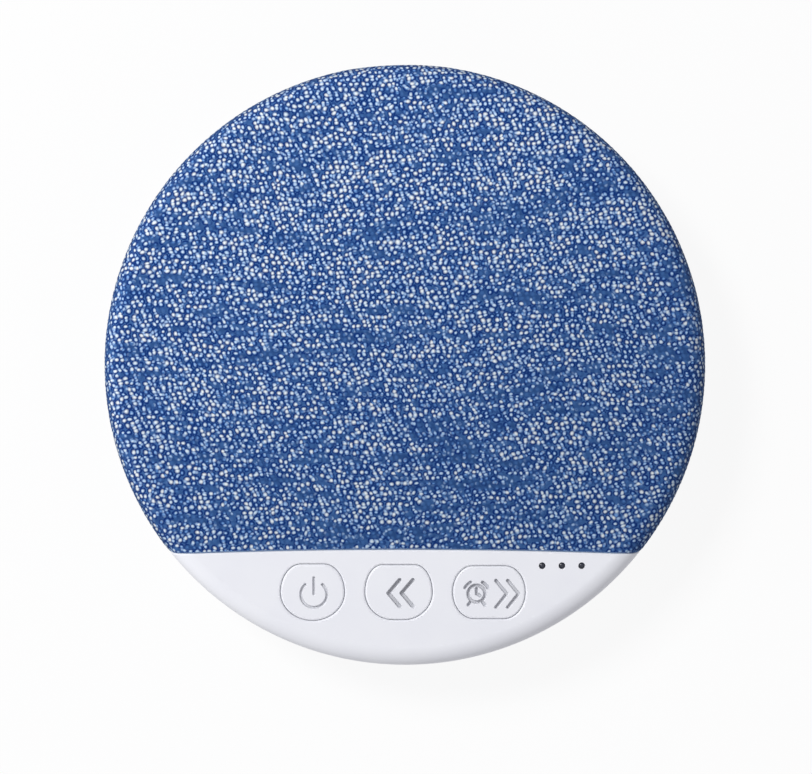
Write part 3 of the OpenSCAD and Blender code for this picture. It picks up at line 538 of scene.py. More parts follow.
@dataclass
class NodeTree:
    """Short way to place and join shader nodes."""

    tree: bpy.types.NodeTree

    def add(self, kind: str, inputs: dict | None = None, **settings: object) -> bpy.types.Node:
        """Adds a node.

        Args:
            kind: The node's type name.
            inputs: Values or sockets by input name or number.
            settings: Properties of the node itself.

        Returns:
            The new node.
        """
        node = self.tree.nodes.new(kind)
        for key, value in settings.items():
            setattr(node, key, value)
        self.feed(node, inputs or {})
        return node

    def feed(self, node: bpy.types.Node, inputs: dict) -> None:
        """Joins sockets to a node's inputs or sets their values, by input name or number."""
        for key, value in inputs.items():
            if isinstance(value, Socket):
                self.tree.links.new(value, node.inputs[key])
            else:
                node.inputs[key].default_value = value

    def place(self) -> Socket:
        """A point's place on the piece, in metres."""
        return self.add("ShaderNodeTexCoord").outputs["Object"]

    def weave(self) -> Socket:
        """A point's coordinates in the weave. On a key both hold the depth of the groove."""
        return self.add("ShaderNodeUVMap", uv_map="weave").outputs[0]

    def math(self, operation: str, *values: Socket | float) -> Socket:
        """A sum, product or other arithmetic on numbers or sockets."""
        return self.add("ShaderNodeMath", dict(enumerate(values)), operation=operation).outputs[0]

    def vector(self, operation: str, inputs: dict) -> Socket:
        """Arithmetic on vectors. A length or a dot product is a number."""
        node = self.add("ShaderNodeVectorMath", inputs, operation=operation)
        return node.outputs["Value" if operation in ("LENGTH", "DOT_PRODUCT") else "Vector"]

    def parts(self, vector: Socket) -> Sequence[Socket]:
        """The three numbers of a vector."""
        return self.add("ShaderNodeSeparateXYZ", {0: vector}).outputs

    def mapped(self, vector: Socket, **inputs: Triple) -> Socket:
        """Coordinates moved by a Location or stretched by a Scale."""
        return self.add("ShaderNodeMapping", {"Vector": vector, **inputs}).outputs[0]

    def smooth(self, value: Socket, low: float, high: float, start: float = 0, end: float = 1) -> Socket:
        """A smooth rise from start to end as the value goes from low to high."""
        inputs = {"Value": value, "From Min": low, "From Max": high, "To Min": start, "To Max": end}
        return self.add("ShaderNodeMapRange", inputs, interpolation_type="SMOOTHSTEP").outputs["Result"]

    def noise(self, where: Socket, scale: float, detail: float = 2.0, rough: float = 0.5) -> Socket:
        """Cloudy noise, from 0 to 1, with so many features per unit of length."""
        inputs = {"Vector": where, "Scale": scale, "Detail": detail, "Roughness": rough}
        return self.add("ShaderNodeTexNoise", inputs).outputs["Fac"]

    def mix(
        self, share: Socket | float, first: Socket | tuple, second: Socket | tuple, how: str = "MIX",
    ) -> Socket:
        """Mixes two colours."""
        inputs = {0: share, 6: first, 7: second}
        return self.add("ShaderNodeMix", inputs, data_type="RGBA", blend_type=how).outputs[2]

    def bump(self, height: Socket, strength: float, depth: float) -> Socket:
        """Normals leaned by a height, whose full depth is given in millimetres."""
        inputs = {"Height": height, "Strength": strength, "Distance": depth * MM}
        return self.add("ShaderNodeBump", inputs).outputs[0]

    def ramp(self, value: Socket, stops: Sequence[tuple[float, Triple]]) -> Socket:
        """Colours along a ramp.

        Args:
            value: Place on the ramp, from 0 to 1.
            stops: Place and colour, 0 to 255, of each stop.

        Returns:
            The colour at the value.
        """
        node = self.add("ShaderNodeValToRGB", {"Fac": value})
        elements = node.color_ramp.elements
        for _ in stops[2:]:
            elements.new(0.5)
        for element, (place, colour) in zip(elements, stops):
            element.position = place
            element.color = linear(*colour)
        return node.outputs["Color"]


def new_material(name: str) -> tuple[bpy.types.Material, NodeTree, bpy.types.Node]:
    """Makes a material with an empty surface.

    Args:
        name: Name of the finish.

    Returns:
        The material, its tree and its surface shader.
    """
    material = bpy.data.materials.new(name)
    material.use_nodes = True
    shader = next(node for node in material.node_tree.nodes if node.type == "BSDF_PRINCIPLED")
    return material, NodeTree(material.node_tree), shader


@dataclass(frozen=True)
class Finish:
    """A moulded, rolled, cast or printed surface: colour that varies a little, with a fine grain."""

    name: str
    colour: Triple
    second: Triple
    patch: float = 120.0
    rough: Pair = (0.4, 0.5)
    metal: float = 0.0
    grain: float = 2500.0
    grain_depth: float = 0.004
    stretch: Triple = (1.0, 1.0, 1.0)
    coat: float = 0.0
    sheen: float = 0.0
    # The groove share paints shade into a key's engraved signs, darkening the colour with the groove's
    # depth
    groove: float = 0.0
    groove_shade_colour: Triple = (60, 62, 70)

    def build(self) -> bpy.types.Material:
        """Makes the material.

        Returns:
            A material whose colour and roughness drift in soft patches and whose grain is a bump. In a
            key's engraved grooves, painted shade darkens the colour with the depth.
        """
        material, tree, shader = new_material(self.name)
        drawn = tree.mapped(tree.place(), Scale=self.stretch)
        patch = tree.noise(drawn, self.patch, 3)
        grain = tree.noise(drawn, self.grain, 4, 0.6)
        colour = tree.mix(tree.smooth(patch, 0.3, 0.7), linear(*self.colour), linear(*self.second))
        # Painted shade: the colour darkens towards a dark grey with the depth of the engraved sign
        if self.groove:
            sunk = tree.math("MULTIPLY", tree.parts(tree.weave())[0], self.groove)
            colour = tree.mix(sunk, colour, linear(*self.groove_shade_colour))
        rough = tree.smooth(patch, 0.25, 0.75, *self.rough)
        tree.feed(shader, {
            "Base Color": colour,
            "Roughness": tree.math("ADD", rough, tree.math("MULTIPLY_ADD", grain, 0.08, -0.04)),
            "Normal": tree.bump(grain, 0.6, self.grain_depth),
            "Metallic": self.metal,
            "Coat Weight": self.coat,
            "Sheen Weight": self.sheen,
        })
        return material


@dataclass(frozen=True)
class Weave:
    """Lattice of the cloth's flecks.

    Across is their distance in a row, row the distance of the rows and shift what each row moves
    along. Jitter is how far flecks stray from the lattice, as a share of a cell.
    """

    across: float = 0.92
    row: float = 0.74
    shift: float = -0.31
    jitter: float = 0.62


@dataclass(frozen=True)
class WovenCloth:
    """Blue cloth with white flecks in a slanting weave.

    Edges are distances from a fleck's middle in millimetres. Heights and reaches are metres, and
    scales are features per metre, but the wander's is per cell of the weave.
    """

    name: str = "flecked_cloth"
    weave: Weave = Weave()
    wander: float = 0.6
    wander_scale: float = 0.45
    streak_scale: float = 520.0
    streak_stretch: Triple = (0.16, 1.0, 1.0)
    fibre_scale: float = 8000.0
    streak_range: Pair = (0.34, 0.56)
    streak_level: Pair = (-0.46, 0.22)
    streak_colour: Pair = (0.34, 0.54)
    # The fall fields paint shade that darkens the cloth towards the lower right, away from the main lamp
    fall: Triple = (0.5, -0.87, 0.0)
    painted_shade_reach: float = 0.04
    painted_shade_level: Pair = (0.1, -0.12)
    painted_shade_tint: Pair = (1.0, 0.76)
    # The fold fields paint shade where the cloth turns down at the rim
    fold_shade_heights: Pair = (0.0132, 0.0146)
    fold_shade_tint: float = 0.75
    size: Pair = (0.18, 0.89)
    fray: float = 0.08
    body_edge: Pair = (0.06, 0.42)
    core_edge: Pair = (0.1, 0.4)
    core_fall: float = 0.5
    gap_edge: Pair = (0.44, 0.62)
    gap_level: Pair = (-0.1, 0.35)
    second_net: Triple = (7.4, 3.6, 0.0)
    faint_edge: Pair = (0.04, 0.34)
    faint_chance: Pair = (0.2, 0.6)
    fibre_tint: Pair = (0.5, 0.75)
    fibre_height: float = 0.25
    bump: float = 0.06
    ground: Triple = (62, 102, 160)
    streak: Triple = (42, 78, 134)
    gap: Triple = (2, 43, 113)
    faint: Triple = (170, 200, 238)
    flecks: tuple[tuple[float, Triple], ...] = (
        (0.0, (60, 100, 158)), (0.12, (76, 121, 184)), (0.26, (113, 158, 218)),
        (0.42, (178, 208, 241)), (0.7, (218, 234, 247)), (1.0, (240, 247, 251)),
    )

    def build(self) -> bpy.types.Material:
        """Makes the cloth's material.

        Each cell of the weave holds one fleck, and some cells of a second, looser net hold a fainter
        one. Random numbers give the brightness and the size. Slow streaks along the rows raise or
        lower the brightness, and painted shade makes it fall towards the lower right, away from the
        main lamp. A dark gap lies round each bright fleck, and fine fibres run over all of it. Painted
        shade darkens the cloth where it turns down.

        Returns:
            The material, which reads the piece's weave coordinates.
        """
        material, tree, shader = new_material(self.name)
        where = tree.place()
        bent = self.wandering(tree)
        streak = tree.noise(tree.mapped(where, Scale=self.streak_stretch), self.streak_scale, 3, 0.6)
        fibre = tree.noise(where, self.fibre_scale, 3, 0.6)
        across = tree.vector("DOT_PRODUCT", {0: where, 1: self.fall})
        fall = (-self.painted_shade_reach, self.painted_shade_reach)
        away, chance, big = self.flecks_of(tree, bent, self.weave.jitter)
        level = tree.math("ADD", chance, tree.smooth(streak, *self.streak_range, *self.streak_level))
        # Painted shade: the flecks dim towards the lower right, away from the main lamp
        level = tree.math("ADD", level, tree.smooth(across, *fall, *self.painted_shade_level))
        edge = tree.math("DIVIDE", away, tree.math("MULTIPLY_ADD", big, *self.size))
        edge = tree.math("ADD", edge, tree.math("MULTIPLY_ADD", fibre, self.fray, -self.fray / 2))
        body = tree.smooth(edge, *self.body_edge, 1.0, 0.0)
        small, rare, _ = self.flecks_of(tree, tree.mapped(bent, Location=self.second_net), 1.0)
        small = tree.smooth(small, *self.faint_edge, 1.0, 0.0)
        dim = tree.math("MULTIPLY", small, tree.smooth(rare, *self.faint_chance))
        around = tree.smooth(edge, *self.gap_edge, 1.0, 0.0)
        around = tree.math("MULTIPLY", tree.smooth(level, *self.gap_level), around)
        share = tree.smooth(streak, *self.streak_colour)
        colour = tree.mix(share, linear(*self.streak), linear(*self.ground))
        colour = tree.mix(around, colour, linear(*self.gap))
        colour = tree.mix(dim, colour, linear(*self.faint))
        core = tree.math("SUBTRACT", level, tree.smooth(edge, *self.core_edge, 0.0, self.core_fall))
        colour = tree.mix(body, colour, tree.ramp(core, self.flecks))
        tint = tree.math("MULTIPLY_ADD", fibre, *self.fibre_tint)
        # Painted shade: the cloth's tone darkens towards the lower right, away from the main lamp
        tint = tree.math("MULTIPLY", tint, tree.smooth(across, *fall, *self.painted_shade_tint))
        # Painted shade: the cloth darkens below the given heights, where it turns down
        low = tree.smooth(tree.parts(where)[2], *self.fold_shade_heights, self.fold_shade_tint, 1.0)
        tint = tree.math("MULTIPLY", tint, low)
        shade = tree.add("ShaderNodeCombineColor", {0: tint, 1: tint, 2: tint}).outputs[0]
        tree.feed(shader, {
            "Base Color": tree.mix(1.0, colour, shade, "MULTIPLY"),
            "Normal": tree.bump(tree.math("MULTIPLY_ADD", fibre, self.fibre_height, body), 0.5, self.bump),
            "Roughness": 0.85,
            "Specular IOR Level": 0.1,
        })
        return material

    def wandering(self, tree: NodeTree) -> Socket:
        """Weave coordinates that wander a little, so that no row is quite straight.

        Args:
            tree: The material's nodes.

        Returns:
            The coordinates plus a slow noise about zero.
        """
        weave = tree.weave()
        inputs = {"Vector": weave, "Scale": self.wander_scale, "Detail": 1.0}
        drift = tree.add("ShaderNodeTexNoise", inputs, noise_dimensions="2D").outputs["Color"]
        shift = tree.vector("SUBTRACT", {0: drift, 1: (0.5, 0.5, 0.5)})
        return tree.vector("ADD", {0: weave, 1: tree.vector("SCALE", {0: shift, "Scale": self.wander})})

    def flecks_of(self, tree: NodeTree, place: Socket, jitter: float) -> tuple[Socket, Socket, Socket]:
        """Finds the nearest fleck of a net.

        Args:
            tree: The material's nodes.
            place: Coordinates in the weave.
            jitter: How far the flecks stray from the even lattice.

        Returns:
            Distance to the fleck in millimetres, and two random numbers of its own.
        """
        inputs = {"Vector": place, "Scale": 1.0, "Randomness": jitter}
        cell = tree.add("ShaderNodeTexVoronoi", inputs, voronoi_dimensions="2D")
        chances = tree.add("ShaderNodeSeparateColor", {"Color": cell.outputs["Color"]}).outputs
        u, v, _ = tree.parts(tree.vector("SUBTRACT", {0: place, 1: cell.outputs["Position"]}))
        across = tree.math("MULTIPLY", u, self.weave.across)
        across = tree.math("ADD", across, tree.math("MULTIPLY", v, self.weave.shift))
        along = tree.math("MULTIPLY", v, self.weave.row)
        squares = [tree.math("MULTIPLY", part, part) for part in (across, along)]
        return tree.math("SQRT", tree.math("ADD", *squares)), chances[0], chances[1]


WHITE = (233, 234, 239)
WHITE_WARM = (230, 231, 237)
FINISHES = (
    Finish("case_white", WHITE, WHITE_WARM, rough=(0.46, 0.54), grain=4200, grain_depth=0.003),
    # The key's finish paints shade into its engraved signs' grooves
    Finish("key_white", WHITE, WHITE_WARM, rough=(0.44, 0.52), grain=4600, grain_depth=0.002, groove=0.6),
    Finish("grille_grey", (92, 98, 110), (84, 90, 101), rough=(0.5, 0.6)),
    Finish("silicone_grey", (148, 151, 156), (138, 141, 147), rough=(0.6, 0.72), sheen=0.15),
    Finish("screw_steel", (176, 178, 182), (150, 152, 157), 900, (0.25, 0.4), 1.0),
    Finish("stem_black", (28, 28, 31), (36, 36, 39), rough=(0.4, 0.5)),
    Finish("switch_steel", (188, 190, 193), (166, 168, 172), 700, (0.28, 0.42), 1.0),
    Finish("board_green", (24, 82, 58), (18, 66, 48), 900, (0.25, 0.35), coat=0.5),
    Finish("led_body", (238, 236, 226), (228, 226, 214), 900, (0.3, 0.4)),
    Finish("guide_navy", (8, 12, 30), (14, 20, 44), 1500, (0.24, 0.32), coat=0.2),
    Finish("socket_steel", (178, 180, 184), (158, 160, 165), 600, (0.2, 0.34), 1, 3000, 0.002, (1, 0.1, 1)),
    Finish("chip_black", (30, 31, 33), (38, 39, 41), 1200, (0.5, 0.62), grain_depth=0.01),
    Finish("can_steel", (182, 184, 186), (164, 166, 169), 700, (0.22, 0.34), 1.0),
    Finish("ferrite_grey", (66, 66, 70), (54, 54, 58), 1500, (0.5, 0.62), grain_depth=0.02),
    Finish("capacitor_tan", (170, 138, 98), (154, 122, 84), 1500, (0.4, 0.5)),
    Finish("pouch_foil", (196, 199, 203), (180, 183, 188), 250, (0.26, 0.4), 0.9, 900, 0.03),
    Finish("foam_tape", (226, 224, 214), (210, 208, 198), 1500, (0.8, 0.9), grain_depth=0.04),
    Finish("connector_ivory", (232, 228, 212), (222, 217, 200), 500, (0.4, 0.5)),
    Finish("lead_red", (176, 28, 28), (158, 22, 24), 600, (0.35, 0.45)),
    Finish("lead_black", (26, 26, 28), (34, 34, 36), 600, (0.35, 0.45)),
    Finish("basket_steel", (122, 124, 128), (104, 106, 110), 500, (0.35, 0.48), 1.0, 1800, 0.01),
    Finish("foam_grey", (72, 73, 76), (58, 59, 62), 1500, (0.85, 0.95), grain_depth=0.05),
    Finish("cup_steel", (186, 187, 190), (168, 169, 173), 500, (0.24, 0.36), 1.0),
    Finish("magnet_nickel", (172, 170, 164), (156, 154, 149), 700, (0.2, 0.3), 1.0),
    Finish("coil_copper", (190, 108, 62), (170, 92, 50), 900, (0.25, 0.35), 1.0, 7000, 0.03, (1, 1, 14)),
    Finish("cone_paper", (44, 44, 47), (56, 56, 59), 700, (0.75, 0.88), grain_depth=0.03),
    Finish("surround_rubber", (26, 26, 28), (33, 33, 35), 400, (0.45, 0.58)),
    Finish("laminate_brown", (138, 98, 52), (120, 84, 44), 900, (0.5, 0.6)),
)


# Pieces


class Sign(Enum):
    """Engraved sign of a key."""

    POWER = "power"
    BACK = "back"
    ALARM_FORWARD = "alarm_forward"


def line_distance(points: Array, *corners: Pair) -> Array:
    """Distance from points to a line.

    Args:
        points: Points in the plane.
        corners: Corners of the line, which runs straight from one to the next.

    Returns:
        One distance for each point.
    """
    parts = []
    for start, end in zip(np.array(corners), np.array(corners[1:])):
        way = end - start
        share = np.clip((points - start) @ way / (way @ way), 0, 1)
        parts.append(np.linalg.norm(points - start - share[:, None] * way, axis=1))
    return np.min(parts, axis=0)


def arc_distance(points: Array, centre: Pair, radius: float, start: float, end: float) -> Array:
    """Distance from points to an arc.

    Args:
        points: Points in the plane.
        centre: Centre of the arc.
        radius: Radius of the arc.
        start: Angle at which it starts, in degrees.
        end: Angle at which it ends, counter-clockwise from the start.

    Returns:
        One distance for each point.
    """
    local = points - np.array(centre)
    turn = (np.degrees(np.arctan2(local[:, 1], local[:, 0])) - start) % 360
    tips = [np.linalg.norm(local - radius * rays(tip), axis=1) for tip in np.radians([start, end])]
    on_arc = np.abs(np.linalg.norm(local, axis=1) - radius)
    return np.where(turn <= (end - start) % 360.0001, on_arc, np.minimum(*tips))


def sign_distance(sign: Sign, points: Array) -> Array:
    """Distance from points to the nearest line of a sign, about the key's middle.

    Args:
        sign: Which sign.
        points: Points in the key's plan.

    Returns:
        One distance for each point.
    """
    if sign is Sign.POWER:
        lines = [
            arc_distance(points, (0.2, -0.3), 1.98, 131, 409),
            line_distance(points, (0.2, 2.2), (0.2, -0.2)),
        ]
    elif sign is Sign.BACK:
        lines = [line_distance(points, (x + 1.7, 1.88), (x, -0.1), (x + 1.7, -2.1)) for x in (-1.55, 0.45)]
    else:
        lines = [line_distance(points, (x, 1.8), (x + 1.65, -0.2), (x, -2.25)) for x in (1.05, 2.85)]
        # The alarm clock: its case, its hands, two bells and two feet
        x, y = clock = (-1.9, -0.2)
        lines.append(arc_distance(points, clock, 1.28, 0, 359.99))
        lines.append(line_distance(points, (x, y + 0.75), clock, (x + 0.55, y - 0.3)))
        for side in (-1, 1):
            bell = sorted((90 - side * 28, 90 - side * 62))
            lines.append(arc_distance(points, clock, 1.95, *bell))
            lines.append(line_distance(points, (x + side * 0.95, y - 1.3), (x + side * 1.25, y - 1.7)))
    return np.min(lines, axis=0)


@dataclass
class Key:
    """Push button: a cap with an engraved sign, a flange behind the panel and a post.

    The stroke is the width of the sign's lines and the depth that of their groove. The flats are
    half the lengths of the outline's straight parts, above and below.
    """

    node: str
    body: str
    sign: Sign
    x: float
    size: Pair
    flats: Pair
    stroke: float
    depth: float
    y: float = -34.65
    top: float = 15.0
    flange: float = 0.6
    flange_top: float = 13.1
    flange_base: float = 12.6
    blur: float = 0.05
    flank: float = 0.16
    edge: float = 0.3
    post_radius: float = 1.5
    spokes: int = 320
    rings: int = 80
    edge_line: Array = field(init=False)
    side: Array = field(init=False)

    def __post_init__(self) -> None:
        """Works out the outline: quarter ellipses joined by a flat above and below, at even steps."""
        turns = 2 * np.pi * (np.arange(720) + 0.5) / 720
        flat = np.where(turns < np.pi, *self.flats)
        x = np.sign(np.cos(turns)) * flat + (self.size[0] / 2 - flat) * np.cos(turns)
        oval = np.stack([x, self.size[1] / 2 * np.sin(turns)], axis=1)
        length = np.linalg.norm(oval - np.roll(oval, -1, axis=0), axis=1).sum()
        self.edge_line = resampled(oval, length / self.spokes)
        self.side = loop_sides(self.edge_line)

    def outline(self, grow: float) -> Array:
        """Outline in the case's plan, moved out evenly by grow."""
        return self.edge_line + grow * self.side + (self.x, self.y)

    def engraving(self, points: Array) -> Array:
        """Depth of the sign's groove: full within half a stroke of its lines, with soft flanks."""
        within = self.stroke / 2 + self.blur - sign_distance(self.sign, points)
        share = np.clip(within / self.flank, 0, 1)
        return self.depth * share * share * (3 - 2 * share)

    def slope(self, points: Array, step: float = 0.01) -> list[Array]:
        """Slope of the groove along x and y, by small steps to each side."""
        shifts = (np.array([step, 0]), np.array([0, step]))
        return [(self.engraving(points + d) - self.engraving(points - d)) / (2 * step) for d in shifts]

    def build(self) -> bpy.types.Object:
        """Makes the key.

        The cap's rings are the outline shrunk evenly towards the middle. Beyond the outline the
        rings follow the rounded edge, the side, the flange and the post.

        Returns:
            The key as one closed mesh.
        """
        middle = np.array([self.x, self.y])
        inset = self.edge_line - self.edge * self.side
        rows = []
        for share in np.linspace(0, 1, self.rings + 1)[1:].tolist():
            flat = inset * share
            groove = self.engraving(flat)
            normals = np.column_stack([*self.slope(flat), np.ones(self.spokes)])
            rows.append((flat + middle, self.top - groove, normals, np.column_stack([groove, groove])))
        for offset, depth, angle in rounded_steps(self.edge):
            normals = lifted(self.side * np.sin(angle), np.cos(angle))
            rows.append((inset + offset * self.side + middle, self.top - depth, normals))
        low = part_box(self.node)[0].z / MM
        rim = self.edge_line + middle
        foot = self.edge_line + self.flange * self.side + middle
        post = self.post_radius * unit(inset) + middle
        turned = lifted(self.side, 0.0)
        rows += [
            (rim, self.flange_top, turned), (rim, self.flange_top, UP),
            (foot, self.flange_top, UP), (foot, self.flange_top, turned),
            (foot, self.flange_base, turned), (foot, self.flange_base, DOWN),
            (post, self.flange_base, DOWN), (post, self.flange_base, turned),
            (post, low, turned), (post, low, DOWN),
        ]
        builder = MeshBuilder()
        rings = builder.add_rings(rows)
        builder.add_fan(rings[0], (*middle, self.top - self.engraving(np.zeros((1, 2)))[0]))
        builder.add_fan(rings[-1], (*middle, low), -1)
        return builder.build(self.node + "_cap")


@dataclass
class FrontShell:
    """White moulding: the crescent with its openings, and the ring under the cloth.

    The edges are the radii of the openings' rounded rims, and the gaps lie round what fills them.
    """

    keys: Sequence[Key]
    skin: CaseSkin = CaseSkin()
    seam: Seam = Seam()
    parting_edge: float = 0.15
    seam_edge: float = 0.3
    key_edge: float = 0.3
    window_edge: float = 0.08
    socket_edge: float = 0.15
    key_gap: float = 0.06
    window_radius: float = 0.5
    socket_size: Pair = (8.94, 3.26)
    socket_gap: float = 0.12
    socket_height: float = 7.37
    ring_step: float = 0.8
    grid_start: float = 26.0
    clearance: float = 0.3

    def socket_mouth(self) -> Array:
        """Outline of the socket's hole in the rolled-out skin.

        Two half circles are joined by straights and lie the gap outside the socket.

        Returns:
            Points of the outline, counter-clockwise as seen on the skin.
        """
        radius = self.socket_size[1] / 2 + self.socket_gap
        side = (self.socket_size[0] - self.socket_size[1]) / 2
        right = (side, 0) + radius * rays(np.linspace(-QUARTER, QUARTER, 25))
        outline = resampled(np.vstack([right, -right]), 0.3)
        bearing = -QUARTER + np.arcsin(outline[:, 0] / self.skin.radius)
        return self.skin.reach(self.socket_height + outline[:, 1])[:, None] * rays(bearing)

    def build(self) -> bpy.types.Object:
        """Makes the shell's outer skin, its edges and its inner skin.

        Returns:
            The shell as one closed mesh.
        """
        skin = self.skin
        window = circle_points((0, 0), self.window_radius, 40)
        loops = [
            circle_points((0, 0), skin.reach(skin.parting), 360),
            resampled(self.seam.opening(self.seam.gap, skin.ledge), self.ring_step)[::-1],
            *(resampled(key.outline(self.key_gap), 0.25)[::-1] for key in self.keys),
            *(window * (1, -1) + place for place in WINDOW_PLACES),
            self.socket_mouth(),
        ]
        # The skin's holes run clockwise. Which way an outline runs is told by its area
        loops = [loop[::-1] if i and loop_area(loop) > 0 else loop for i, loop in enumerate(loops)]
        sides = [loop_sides(loop) for loop in loops]
        edges = [self.parting_edge, self.seam_edge] + [self.key_edge] * len(self.keys)
        edges += [self.window_edge] * len(WINDOW_PLACES) + [self.socket_edge]
        inset = [loop - edge * side for loop, edge, side in zip(loops, edges, sides)]
        numbers = number_ranges(inset)
        points = np.vstack([*inset, self.grid_points(inset)])
        points, triangles = triangles_between(points, numbers[0], numbers[1:])
        builder = MeshBuilder()
        builder.faces.append(builder.add(*skin.place(points))[triangles])
        places, normals = skin.place(points, skin.wall)
        inner = builder.add(places, -normals)
        builder.faces.append(inner[triangles[:, ::-1]])
        for i, (loop, side, ring, edge) in enumerate(zip(inset, sides, numbers, edges)):
            steps = rounded_steps(edge) + [(edge, skin.wall, QUARTER), (edge, skin.wall, np.pi)]
            last = add_edge(builder, skin, loop, ring, side, steps, straight=i == len(loops) - 1)
            builder.faces.append(strip_faces([last, inner[ring]]))
        ShellInside(self.seam).add(builder)
        return builder.build("front_shell_skin")

    def grid_points(self, loops: Sequence[Array]) -> Array:
        """Points inside the region, on rings close together where the skin is round.

        Args:
            loops: The region's edges, the outer one first.

        Returns:
            Points that keep clear of every edge.
        """
        skin = self.skin
        flat = np.linspace(self.grid_start, skin.flat_radius, 9)
        over = skin.flat_radius + skin.edge_radius * np.radians(np.arange(7.5, 90, 7.5))
        down = np.linspace(skin.wall_reach, skin.reach(skin.parting), 7)[:-1]
        points = polar_grid(np.radians(np.arange(0, 360, 1.0)), np.concatenate([flat, over, down]))
        points = points[inside(points, loops[0])]
        for loop in loops[1:]:
            points = points[~inside(points, loop)]
        near = np.min([nearest(points, loop) for loop in loops], axis=0)
        return points[near > self.clearance]


@dataclass(frozen=True)
class ShellInside:
    """What stands inside the front shell: ring wall, baffle, seam wall, bosses and ribs."""

    seam: Seam = Seam()
    baffle: Pair = (11.65, 13.25)
    panel: float = 13.2
    parting: float = 4.2
    ring: Pair = (42.75, 44.2)
    seam_wall: Pair = (0.15, 1.35)
    baffle_reach: float = 0.75
    driver: Pair = (0.0, 12.0)
    driver_hole: float = 18.6
    driver_ring: Pair = (20.2, 21.2)
    ear_reach: float = 22.6
    ear_radius: float = 2.4
    ear_turns: tuple[float, ...] = (90, 210, 330)
    ear_gap: float = 8.4
    ear_drop: float = 0.5
    driver_ring_drop: float = 1.0
    case_reach: float = 38.1
    case_turns: tuple[float, ...] = (45, 135, 210, 330)
    case_joint: float = 4.1
    boss_radius: float = 2.5
    rib: tuple[Pair, ...] = ((2.4, -0.5), (4.7, -0.5), (4.7, 0.5), (2.4, 0.5))
    rib_drop: float = 3.4
    board_places: tuple[Pair, ...] = ((-24, -33), (22, -34.6), (7, -40.2))
    board_top: float = 10.0
    board_boss: float = 2.1
    pilot: float = 1.0
    hook_reach: float = 38.5
    hook_drop: float = 24.8
    hook_turns: tuple[float, ...] = (8, 68, 112, 172, 232, 308)
    hook_slot: tuple[Pair, ...] = ((-1.1, -2.2), (1.2, -2.2), (1.2, 2.2), (-1.1, 2.2))

    def add(self, builder: MeshBuilder) -> None:
        """Adds every feature as a closed plate.

        Args:
            builder: Receives the plates.
        """
        base, top = self.baffle
        inner, outer = self.ring
        holes = [circle_points(self.driver, self.driver_hole, 120), *map(self.slot, self.hook_turns)]
        builder.add_plate(self.seam.region(self.baffle_reach, outer), holes, base, top)
        end = self.seam.side(self.baffle_reach, outer)[-1]
        start = np.degrees(np.arctan2(end[1], end[0]))
        builder.add_plate(ring_sector(outer, inner, start, 180 - start), [], self.parting, base)
        builder.add_plate(self.seam.band(*self.seam_wall, outer), [], base, self.panel)
        inner, outer = self.driver_ring
        for turn in self.ear_turns:
            arc = ring_sector(outer, inner, turn + self.ear_gap, turn + 120 - self.ear_gap, self.driver)
            builder.add_plate(arc, [], base - self.driver_ring_drop, base)
            ear = self.driver + self.ear_reach * rays(np.radians(turn))
            self.add_boss(builder, ear, self.ear_radius, base - self.ear_drop, base)
        for turn in self.case_turns:
            middle = self.case_reach * rays(np.radians(turn))
            self.add_boss(builder, middle, self.boss_radius, self.case_joint, base)
            builder.add_plate(middle + self.turned(self.rib, turn), [], base - self.rib_drop, base)
        for place in self.board_places:
            self.add_boss(builder, place, self.board_boss, self.board_top, self.panel)

    def add_boss(
        self, builder: MeshBuilder, middle: Sequence[float], radius: float, low: float, high: float,
    ) -> None:
        """Adds a round boss with its pilot hole."""
        hole = circle_points(middle, self.pilot, 24)
        builder.add_plate(circle_points(middle, radius), [hole], low, high)

    def slot(self, turn: float) -> Array:
        """Outline of a snap hook's slot.

        Args:
            turn: Bearing of the hook in degrees.

        Returns:
            Its corners. The slot lies along the rim or, in front, along the seam.
        """
        behind = turn < 180
        reach = self.hook_reach if behind else self.hook_drop / abs(np.sin(np.radians(turn)))
        return reach * rays(np.radians(turn)) + self.turned(self.hook_slot, turn if behind else 270)

    def turned(self, corners: Sequence[Pair], turn: float) -> Array:
        """Corners turned by an angle in degrees."""
        along = rays(np.radians(turn))
        return np.array(corners) @ np.array([along, (-along[1], along[0])])


